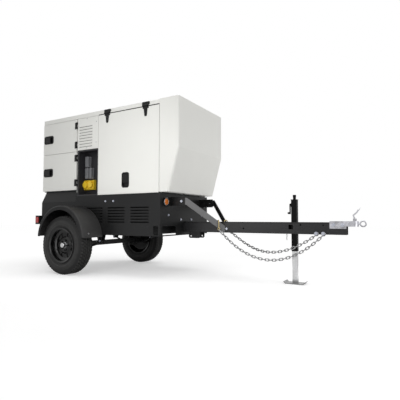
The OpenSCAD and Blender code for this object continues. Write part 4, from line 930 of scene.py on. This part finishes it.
@dataclass
class Wheel:
    """Trailer wheel: a treaded tyre about the CAD rim, and the rim's dressing."""

    side: Side
    bead_share: float = 0.5522
    bead_h: float = 0.082
    shoulder_drop: float = 0.015
    shoulder_steps: Profile = ((0.004, 0.008), (0.0, 0.022))
    wall_steps: int = 14
    wall_inset: float = 0.002
    wall_ribs: Profile = ((0.13, 0.2), (0.78, 0.9))
    rib_h: float = 0.0016
    lining: Pair = (0.002, 0.014)
    groove: float = 0.008
    ring_steps: int = 128
    blocks: int = 56
    tread_rows: Tuple[Point, ...] = ((0.006, 0.0235, 0.86), (0.0305, 0.052, 0.8), (0.058, 0.0805, 0.62))
    block_ring: Profile = ((-1, -1), (0, -1), (1, -1), (1, 1), (0, 1), (-1, 1))
    block_levels: Profile = ((0.0, 1.0), (0.75, 0.95), (1.0, 0.86))
    block_slant: float = 0.1
    block_root: float = 0.004
    crown_h: float = 0.06
    crown_w: float = 0.02
    crown_drop: float = 0.0105
    root_drop: float = 0.014
    cap_r: float = 0.033
    cap_steel: Colour = rgb(0.78, 0.785, 0.79)
    hub_paint: Colour = rgb(0.03, 0.03, 0.03)
    rubber: Colour = rgb(0.0035, 0.0035, 0.0037)
    bloom: Colour = rgb(0.075, 0.074, 0.072)
    valve_stem: Profile = ((0.0, -0.004), (0.0075, -0.004), (0.0072, 0.008), (0.0052, 0.012), (0.0045, 0.03),
                           (0.0052, 0.031), (0.0052, 0.04), (0.0, 0.0415))
    valve_steps: int = 16
    valve_lean: float = 24.0
    valve_in: float = 0.024
    valve_h: float = 0.036
    centre: Vector = field(init=False)
    radius: float = field(init=False)
    half_width: float = field(init=False)
    bead_r: float = field(init=False)
    axis: Point = field(init=False)

    def __post_init__(self) -> None:
        """Read the wheel's place and size from its CAD nodes."""
        low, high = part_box(f"tyre_{self.side.word}")
        self.centre = (low + high) / 2.0
        self.radius = (high.z - low.z) / 2.0
        self.half_width = (high.y - low.y) / 2.0
        self.bead_r = self.radius * self.bead_share
        self.axis = (self.centre.x, 0.0, self.centre.z)

    @property
    def body(self) -> Body:
        """The body that the wheel's pieces ride on."""
        return Body.WHEEL_RIGHT if self.side is Side.RIGHT else Body.WHEEL_LEFT

    def build(self) -> None:
        """Dress the rim and hub, and make the tyre and its valve."""
        dress(RIM_PAINT, f"rim_{self.side.word}", edge=0.0012)
        hub_steel = HubSteel("hub_steel", self.cap_steel, self.hub_paint, self.axis, self.cap_r)
        dress(hub_steel, f"hub_{self.side.word}", edge=0.0008)
        tyre = self.tyre()
        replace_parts(tyre, f"tyre_{self.side.word}")
        self.tread()
        self.valve()

    def seat(self, shape: bmesh.types.BMesh) -> None:
        """Move a mesh from the origin to the wheel's place, with its +Z outwards."""
        turn = Matrix.Rotation(math.radians(-90.0 * self.side.value), 4, "X")
        bmesh.ops.transform(shape, matrix=Matrix.Translation(self.centre) @ turn, verts=shape.verts[:])

    def carcass(self) -> List[Pair]:
        """Half section of the tyre, from bead to the middle of the tread.

        Returns:
            Radius and height of each point.
        """
        shoulder = self.radius - self.shoulder_drop
        swell = self.half_width - self.bead_h
        wall = []
        for i in range(self.wall_steps + 1):
            t = i / self.wall_steps
            rib = self.rib_h if any(start < t < end for start, end in self.wall_ribs) else 0.0
            wall.append((self.bead_r + (shoulder - self.bead_r) * t,
                         self.bead_h + swell * math.sin(math.pi * t) ** 2 + rib - self.wall_inset))
        floor = self.radius - self.groove
        return wall + [(floor - down, self.bead_h - inward) for down, inward in self.shoulder_steps] + [(floor, 0.0)]

    def tyre(self) -> bpy.types.Object:
        """Make the tyre's turned carcass.

        Returns:
            The tyre's object.
        """
        shape = bmesh.new()
        outer = self.carcass()
        thin_r, thin_h = self.lining
        inner = [(r - thin_r, h - thin_h) for r, h in reversed(outer[:self.wall_steps])]
        upper = inner + outer
        section = upper + [(r, -h) for r, h in reversed(upper[:-1])]
        revolve(shape, section, self.ring_steps, True)
        self.seat(shape)
        rubber = TyreRubber("tyre_rubber", self.rubber, self.bloom, self.axis, self.radius)
        return add_mesh(f"treaded_tyre_{self.side.word}", shape, rubber, self.body)

    def tread(self) -> None:
        """Make the rows of tread blocks, paler than the grooves: partly scuffing, partly painted light on the block
        tops.
        """
        shape = bmesh.new()
        pitch = 2.0 * math.pi / self.blocks
        mirrored = tuple((-h1, -h0, fill) for h0, h1, fill in self.tread_rows)
        for row, (h0, h1, fill) in enumerate(self.tread_rows + mirrored):
            shift = pitch / 2.0 if row % 2 else 0.0
            for i in range(self.blocks):
                self.block(shape, i * pitch + shift, pitch * fill, h0, h1)
        self.seat(shape)
        add_mesh(f"tread_blocks_{self.side.word}", shape, BLOCK_RUBBER, self.body)

    def block(self, shape: bmesh.types.BMesh, angle: float, span: float, h0: float, h1: float) -> None:
        """Add one tread block.

        Args:
            shape: Mesh that takes the block.
            angle: Middle of the block round the axle.
            span: Angle that the block fills.
            h0: Lower edge across the tread.
            h1: Upper edge across the tread.
        """
        layers = []
        slant = self.block_slant * span * (1.0 if h0 > 0.0 else -1.0)
        for level, grow in self.block_levels:
            mid, half = (h0 + h1) / 2.0, (h1 - h0) / 2.0 * grow
            layer = []
            for u, v in self.block_ring:
                h = mid + v * half
                edge = max(0.0, abs(h) - self.crown_h) / self.crown_w
                top = self.radius - self.crown_drop * edge * edge
                base = self.radius - self.groove - self.block_root - self.root_drop * edge * edge
                r = base + (top - base) * level
                a = angle + u * span / 2.0 * grow + v * slant
                layer.append(shape.verts.new((r * math.cos(a), r * math.sin(a), h)))
            layers.append(layer)
        skin(shape, layers)
        top_ring = layers[-1]
        shape.faces.new((top_ring[0], top_ring[1], top_ring[4], top_ring[5]))
        shape.faces.new((top_ring[1], top_ring[2], top_ring[3], top_ring[4]))

    def valve(self) -> None:
        """Make the rubber valve stem, which leans out of the rim."""
        shape = bmesh.new()
        revolve(shape, self.valve_stem, self.valve_steps, False)
        lean = Matrix.Rotation(math.radians(-self.valve_lean), 4, "Y")
        spot = Matrix.Translation((self.bead_r - self.valve_in, 0.0, self.valve_h))
        bmesh.ops.transform(shape, matrix=spot @ lean, verts=shape.verts[:])
        self.seat(shape)
        add_mesh(f"valve_stem_{self.side.word}", shape, BLACK_PLASTIC, self.body)


@dataclass
class Enclosure:
    """White sound-proofed housing with its doors, hinges, latches, seals and louvres."""

    screw_r: float = 0.007
    screw_h: float = 0.0035
    screw_head: Profile = ((0.0, 0.7), (0.25, 0.7), (0.3, 1.0), (0.75, 0.9), (1.0, 0.45), (1.0, -1.0))
    screw_steps: int = 16
    screw_inset: float = 0.031
    screw_ends: Profile = ((0.013, 0.024), (0.069, 0.078))
    screw_columns: int = 4
    screw_top: float = 0.6
    seal_half: float = 0.0013
    seal_h: float = 0.0205
    seal_foot: float = 0.0007
    seal_foot_w: float = 0.009
    lip_gap: float = 0.004
    lip_section: Profile = ((0.0012, 0.0065), (0.0016, 0.0), (0.0006, -0.0026), (-0.012, -0.0028), (-0.0165, -0.0006),
                            (-0.0165, 0.003), (-0.0045, 0.003), (-0.0042, 0.0002), (-0.0002, 0.0002),
                            (-0.0002, 0.0065))
    louvre_out: float = 0.006
    louvre_w: float = 0.222
    louvre_rows: int = 8
    louvre_pitch: float = 0.036
    louvre_first: float = 0.04
    louvre_shift: float = -0.033
    louvre_section: Profile = ((0.0, -0.0045), (0.0006, -0.0045), (0.0007, -0.0006), (0.0054, 0.001),
                               (0.0055, 0.0018), (0.0, 0.0001))
    left_banks: Tuple[float, ...] = (0.245, 0.545, 0.845)

    def build(self) -> None:
        """Dress the housing, and add its seals, the strips of painted shade in its louvre mouths, and its screws."""
        dress(WHITE_PAINT, "roof_cap", "front_hood", "rear_wall", "vent_panels", "enclosure_posts", edge=0.002)
        dress(WHITE_PAINT, "main_door_right", "main_door_left", "upper_door", "lower_door", edge=0.0025)
        dress(BLACK_PLASTIC, "fixed_hinge_leaves", "main_door_right_fittings", "main_door_left_fittings",
              "upper_door_fittings", "lower_door_fittings", "main_paddle_right", "main_paddle_left",
              "upper_paddle", "lower_paddle", edge=0.0015)
        for side in Side:
            self.seals(side)
            self.lip_trim(side)
            self.louvre_shade_strips(side)
            self.screws(side)

    def seals(self, side: Side) -> None:
        """Stand a rubber seal on the posts in each upright seam of a main door.

        Args:
            side: Side of the trailer.
        """
        low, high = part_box(f"main_door_{side.word}")
        face = side.value * abs(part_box("enclosure_posts")[0].y)
        recess_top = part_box("receptacle_box")[1].z + self.lip_gap
        front = (high.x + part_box("front_hood")[0].x) / 2.0
        rear = (low.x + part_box("vent_panels")[1].x) / 2.0
        rear_z = recess_top if side is Side.RIGHT else low.z
        half, foot = self.seal_half, self.seal_foot
        section = [(-half, 0.0), (-half, self.seal_h), (half, self.seal_h), (half, foot), (self.seal_foot_w, foot),
                   (self.seal_foot_w, 0.0)]
        shape = bmesh.new()
        for x, z, inwards in ((front, low.z, -FORWARD), (rear, rear_z, FORWARD)):
            bar(shape, section, Vector((x, face, z)), UPWARD * (high.z - z), inwards, side.out)
        add_mesh(f"door_seals_{side.word}", shape, SEAL_RUBBER, Body.TRAILER)

    def lip_trim(self, side: Side) -> None:
        """Clip an edge trim on the roof's lip over a main door.

        Args:
            side: Side of the trailer.
        """
        low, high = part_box(f"main_door_{side.word}")
        lip = side.value * abs(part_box("roof_cap")[0].y)
        shape = bmesh.new()
        start = Vector((low.x, lip, high.z + self.lip_gap))
        bar(shape, self.lip_section, start, FORWARD * (high.x - low.x), side.out, UPWARD)
        add_mesh(f"lip_trim_{side.word}", shape, SEAL_RUBBER, Body.TRAILER)

    def louvre_shade_strips(self, side: Side) -> None:
        """Line the mouth under each louvre of the vent panels with a grey strip of painted shade.

        Args:
            side: Side of the trailer.
        """
        panel_low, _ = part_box("vent_panels")
        recess_low, recess_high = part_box("receptacle_box")
        middle = (recess_low.x + recess_high.x) / 2.0 + self.louvre_shift
        banks = [middle] if side is Side.RIGHT else [panel_low.x + bank for bank in self.left_banks]
        face = side.value * (abs(panel_low.y) - self.louvre_out)
        shape = bmesh.new()
        for x in banks:
            for row in range(self.louvre_rows):
                z = recess_high.z + self.louvre_first + row * self.louvre_pitch
                start = Vector((x - self.louvre_w / 2.0, face, z))
                bar(shape, self.louvre_section, start, FORWARD * self.louvre_w, side.out, UPWARD)
        add_mesh(f"louvre_shade_strips_{side.word}", shape, LOUVRE_SHADE, Body.TRAILER)

    def screws(self, side: Side) -> None:
        """Set pan-head screws round a vent panel.

        Args:
            side: Side of the trailer.
        """
        low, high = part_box("vent_panels")
        recess_low, recess_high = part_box("receptacle_box")
        face = side.value * (abs(low.y) - self.louvre_out)
        inset = self.screw_inset
        spots = []
        if side is Side.RIGHT:
            columns = ((recess_low.x + recess_high.x) / 2.0 - inset / 2.0, high.x - inset)
            for x, (drop, rise) in zip(columns, self.screw_ends):
                spots += [(x, high.z - drop), (x, recess_high.z + rise)]
        else:
            spaces = self.screw_columns - 1
            for i in range(self.screw_columns):
                x = low.x + inset + (high.x - low.x - 2.0 * inset) * i / spaces
                spots += [(x, recess_high.z - inset), (x, high.z - self.screw_top * inset)]
        profile = [(self.screw_r * r, self.screw_h * h) for r, h in self.screw_head]
        shape = bmesh.new()
        for x, z in spots:
            turned(shape, profile, Vector((x, face, z)), side.out, self.screw_steps)
        add_mesh(f"vent_screws_{side.word}", shape, ZINC, Body.TRAILER)


@dataclass
class OutletRecess:
    """Dark recess with a moulded frame, grey covers and yellow twist-lock sockets."""

    wall: float = 0.004
    frame_w: float = 0.013
    frame_d: float = 0.016
    frame_back: float = 0.002
    frame_face: float = 0.85
    frame_round: float = 0.0025

    def build(self) -> None:
        """Dress the recess and what is in it, and add its frame."""
        dress(DARK_LINING, "receptacle_box", edge=0.0012)
        dress(GREY_PLASTIC, "duplex_outlets", edge=0.0012)
        dress(YELLOW_PLASTIC, "twist_lock_sockets", "socket_lid_front", "socket_lid_rear", edge=0.001)
        dress(PANEL_GREY, "control_panel", edge=0.001)
        dress(RED_PLASTIC, "stop_button", edge=0.0015)
        self.frame()

    def frame(self) -> None:
        """Fit a moulded frame just inside the mouth of the recess."""
        low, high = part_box("receptacle_box")
        x0, x1, z0, z1 = low.x + self.wall, high.x - self.wall, low.z + self.wall, high.z - self.wall
        front = low.y + self.frame_back
        section = ((0.0, 0.0), (self.frame_w * self.frame_face, 0.0), (self.frame_w, self.frame_round),
                   (self.frame_w, self.frame_d), (0.0, self.frame_d))
        shape = bmesh.new()
        rings = []
        for inset, depth in section:
            corners = ((x0 + inset, z0 + inset), (x1 - inset, z0 + inset), (x1 - inset, z1 - inset),
                       (x0 + inset, z1 - inset))
            rings.append([shape.verts.new((x, front + depth, z)) for x, z in corners])
        skin(shape, rings, looped=True)
        add_mesh("recess_frame", shape, FRAME_PLASTIC, Body.TRAILER)


@dataclass
class PowerUnit:
    """Engine, alternator and what serves them, behind the doors."""

    edge: float = 0.002

    def build(self) -> None:
        """Dress the engine bay."""
        dress(ENGINE_IRON, "engine", edge=self.edge)
        dress(ALTERNATOR_BLUE, "alternator", edge=self.edge)
        dress(CORE_METAL, "radiator")
        dress(MUFFLER_STEEL, "muffler", edge=self.edge)
        dress(BLACK_PLASTIC, "air_cleaner", "battery", "fan", "fuel_tank", edge=self.edge)


@dataclass
class Undercarriage:
    """Black skirt, frame, fenders, lamps, axle and springs."""

    marker_r: float = 0.037
    marker_seat: float = 0.018
    bezel_section: Profile = ((0.0006, -0.001), (0.0006, 0.0022), (0.0018, 0.0036), (0.0046, 0.0036),
                              (0.0064, 0.0018), (0.0066, -0.001))
    bezel_steps: int = 40
    grommet_x: float = -0.551
    grommet_z: float = 0.7717
    grommet_profile: Profile = ((0.0, 0.0006), (0.005, 0.0006), (0.0062, 0.0042), (0.0085, 0.0048), (0.0125, 0.0028),
                                (0.014, -0.001))
    grommet_steps: int = 24
    fender_r: float = 0.388
    flap_turn: float = 9.5
    flap_inset: float = 0.099
    flap_bolt_profile: Profile = ((0.0, 0.007), (0.004, 0.0066), (0.0085, 0.004), (0.009, 0.0016), (0.013, 0.0014),
                                  (0.0132, -0.001))
    leaf_w: float = 0.045
    leaf_t: float = 0.008
    leaf_gap: float = 0.0003
    leaf_cut: float = 0.001
    leaf_shares: Tuple[float, ...] = (1.0, 0.72, 0.46)
    leaf_steps: int = 18
    eye_r: float = 0.018
    eye_steps: int = 28
    eye_clear: float = 1.5
    pin_r: float = 0.0082
    clamp_half: float = 0.055

    def build(self) -> None:
        """Dress the base of the trailer and add its springs, bezels, grommets and flap bolts."""
        dress(BLACK_PAINT, "main_frame", "skirt_panels", "skirt_front", "floor_deck", "axle_beam", edge=0.0015)
        dress(FENDER_PAINT, "fenders", edge=0.0015)
        dress(BLACK_PLASTIC, "lamp_housings", edge=0.0015)
        dress(RED_LENS, "tail_lamp_lenses", edge=0.0012)
        dress(AMBER_LENS, "marker_lamp_lenses")
        dress(BOLT_ZINC, "frame_bolts", edge=0.0006)
        self.springs("spring_halves_front", 1.0)
        self.springs("spring_halves_rear", -1.0)
        for side in Side:
            self.bezel(side)
            self.grommet(side)
            self.flap_bolt(side)

    def springs(self, name: str, way: float) -> None:
        """Build one half of both leaf springs.

        Args:
            name: Name of the piece.
            way: 1 for the halves in front of the axle, -1 for those behind it.
        """
        low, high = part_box("leaf_springs")
        middle = (low.x + high.x) / 2.0
        reach = (high.x - low.x) / 2.0 - self.eye_r
        top = low.z + self.leaf_t * len(self.leaf_shares)
        rise = high.z - self.eye_r - top
        bow = (reach * reach + rise * rise) / (2.0 * rise)
        wide = self.leaf_w / 2.0
        eye_profile = chamfered(self.pin_r, self.eye_r, 0.0, self.leaf_w, self.leaf_cut)
        shape = bmesh.new()
        for side in Side:
            centre = Vector((middle, side.value * (high.y - wide), top + bow))
            for i, share in enumerate(self.leaf_shares):
                self.leaf(shape, centre, bow + i * self.leaf_t, way * share * math.asin(reach / bow))
            eye = Vector((middle + way * reach, centre.y - wide, high.z - self.eye_r))
            turned(shape, eye_profile, eye, LEFTWARD, self.eye_steps, True)
        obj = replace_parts(add_piece(name, shape, BLACK_PAINT), "leaf_springs")
        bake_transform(obj)

    def leaf(self, shape: bmesh.types.BMesh, centre: Vector, radius: float, angle: float) -> None:
        """Bend half of one leaf about the middle of its bow.

        Args:
            shape: Mesh that takes the leaf.
            centre: Middle of the bow.
            radius: Radius of the leaf's upper face.
            angle: Turn from the axle to the leaf's tip.
        """
        wide, thick = self.leaf_w / 2.0, self.leaf_t - self.leaf_gap
        section = chamfered(-wide, wide, 0.0, thick, self.leaf_cut)
        rings = []
        for step in range(self.leaf_steps + 1):
            turn = angle * step / self.leaf_steps
            down = Vector((math.sin(turn), 0.0, -math.cos(turn)))
            rings.append([shape.verts.new(centre + down * (radius + d) + LEFTWARD * y) for y, d in section])
        skin(shape, rings, capped=True)

    def bezel(self, side: Side) -> None:
        """Press a bright ring round a front marker lamp.

        Args:
            side: Side of the trailer.
        """
        low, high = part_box("marker_lamp_lenses")
        profile = [(self.marker_r + out, h) for out, h in self.bezel_section]
        spot = Vector((low.x + self.marker_seat, side.value * (high.y - self.marker_r), (low.z + high.z) / 2.0))
        shape = bmesh.new()
        turned(shape, profile, spot, FORWARD, self.bezel_steps, True)
        add_mesh(f"marker_bezel_{side.word}", shape, ZINC, Body.TRAILER)

    def grommet(self, side: Side) -> None:
        """Fit a rubber grommet in the skirt behind the wheel.

        Args:
            side: Side of the trailer.
        """
        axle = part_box("axle_beam")
        skirt = abs(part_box("skirt_panels")[0].y)
        spot = Vector(((axle[0].x + axle[1].x) / 2.0 + self.grommet_x, side.value * skirt, self.grommet_z))
        shape = bmesh.new()
        turned(shape, self.grommet_profile, spot, side.out, self.grommet_steps)
        add_mesh(f"skirt_grommet_{side.word}", shape, SEAL_RUBBER, Body.TRAILER)

    def flap_bolt(self, side: Side) -> None:
        """Set a domed bolt at the foot of a fender's front curve.

        Args:
            side: Side of the trailer.
        """
        low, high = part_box("fenders")
        turn = math.radians(self.flap_turn)
        out = Vector((math.cos(turn), 0.0, math.sin(turn)))
        hub = Vector(((low.x + high.x) / 2.0, side.value * (high.y - self.flap_inset), high.z - self.fender_r))
        shape = bmesh.new()
        turned(shape, self.flap_bolt_profile, hub + out * self.fender_r, out)
        add_mesh(f"flap_bolt_{side.word}", shape, LINK_ZINC, Body.TRAILER)


@dataclass
class TowGear:
    """Tongue, braces, coupler, jack and safety chains."""

    tongue_h: float = 0.12
    staple: Profile = ((-0.008, 0.003), (-0.008, -0.006), (-0.0055, -0.0105), (0.0, -0.0125), (0.0055, -0.0105),
                       (0.008, -0.006), (0.008, 0.003))
    staple_share: float = 0.8
    clip_back: float = 0.0715
    clip_wire: float = 0.0024
    clip_drop: float = 0.066
    clip_y: float = -0.036
    clip_leg: Pair = (-0.004, -0.024)
    clip_ring: Pair = (0.0035, -0.0165)
    clip_ring_r: float = 0.0078
    clip_ring_start: float = 200.0
    clip_ring_sweep: float = 250.0
    clip_ring_steps: int = 10
    clip_tail: Profile = ((0.0055, -0.028), (0.0022, -0.035), (0.0042, -0.042), (0.0024, -0.05), (0.007, -0.06),
                          (0.01, -0.0645))

    def build(self) -> None:
        """Dress everything in front of the housing and hang the jack's clip."""
        dress(TONGUE_PAINT, "tongue", edge=0.002)
        dress(JACK_PAINT, "jack_tube", "jack_crank", edge=0.002)
        dress(BRACE_PAINT, "tongue_braces", edge=0.0015)
        dress(COUPLER_ZINC, "coupler_body", "coupler_latch", edge=0.0012)
        dress(LEG_ZINC, "jack_leg", edge=0.0012)
        dress(LINK_ZINC, "safety_chains")
        dress(YELLOW_ZINC, "chain_hooks")
        self.clip()

    def clip(self) -> None:
        """Hang the jack's spring clip from a staple under the tongue."""
        low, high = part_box("jack_tube")
        x = (low.x + high.x) / 2.0 - self.clip_back
        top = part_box("tongue")[1].z - self.tongue_h
        shape = bmesh.new()
        arch = [Vector((x, self.clip_y + a, top + b)) for a, b in self.staple]
        wire(shape, arch, self.clip_wire * self.staple_share, FORWARD)
        path = [(self.clip_leg[0], -self.clip_drop), self.clip_leg]
        for i in range(self.clip_ring_steps + 1):
            turn = math.radians(self.clip_ring_start - self.clip_ring_sweep * i / self.clip_ring_steps)
            path.append((self.clip_ring[0] + self.clip_ring_r * math.cos(turn),
                         self.clip_ring[1] + self.clip_ring_r * math.sin(turn)))
        path += self.clip_tail
        wire(shape, [Vector((x + a, self.clip_y, top + b)) for a, b in path], self.clip_wire, LEFTWARD)
        add_mesh("jack_clip", shape, ZINC, Body.TRAILER)


def main() -> None:
    """Build the studio and each sub-assembly in turn."""
    logging.basicConfig(level=logging.INFO, format="%(name)s: %(message)s")
    Studio().build()
    for assembly in (Enclosure(), OutletRecess(), PowerUnit(), Undercarriage(), TowGear(),
                     Wheel(Side.RIGHT), Wheel(Side.LEFT)):
        LOG.info("building %s", type(assembly).__name__)
        assembly.build()


if __name__ == "__main__":
    main()
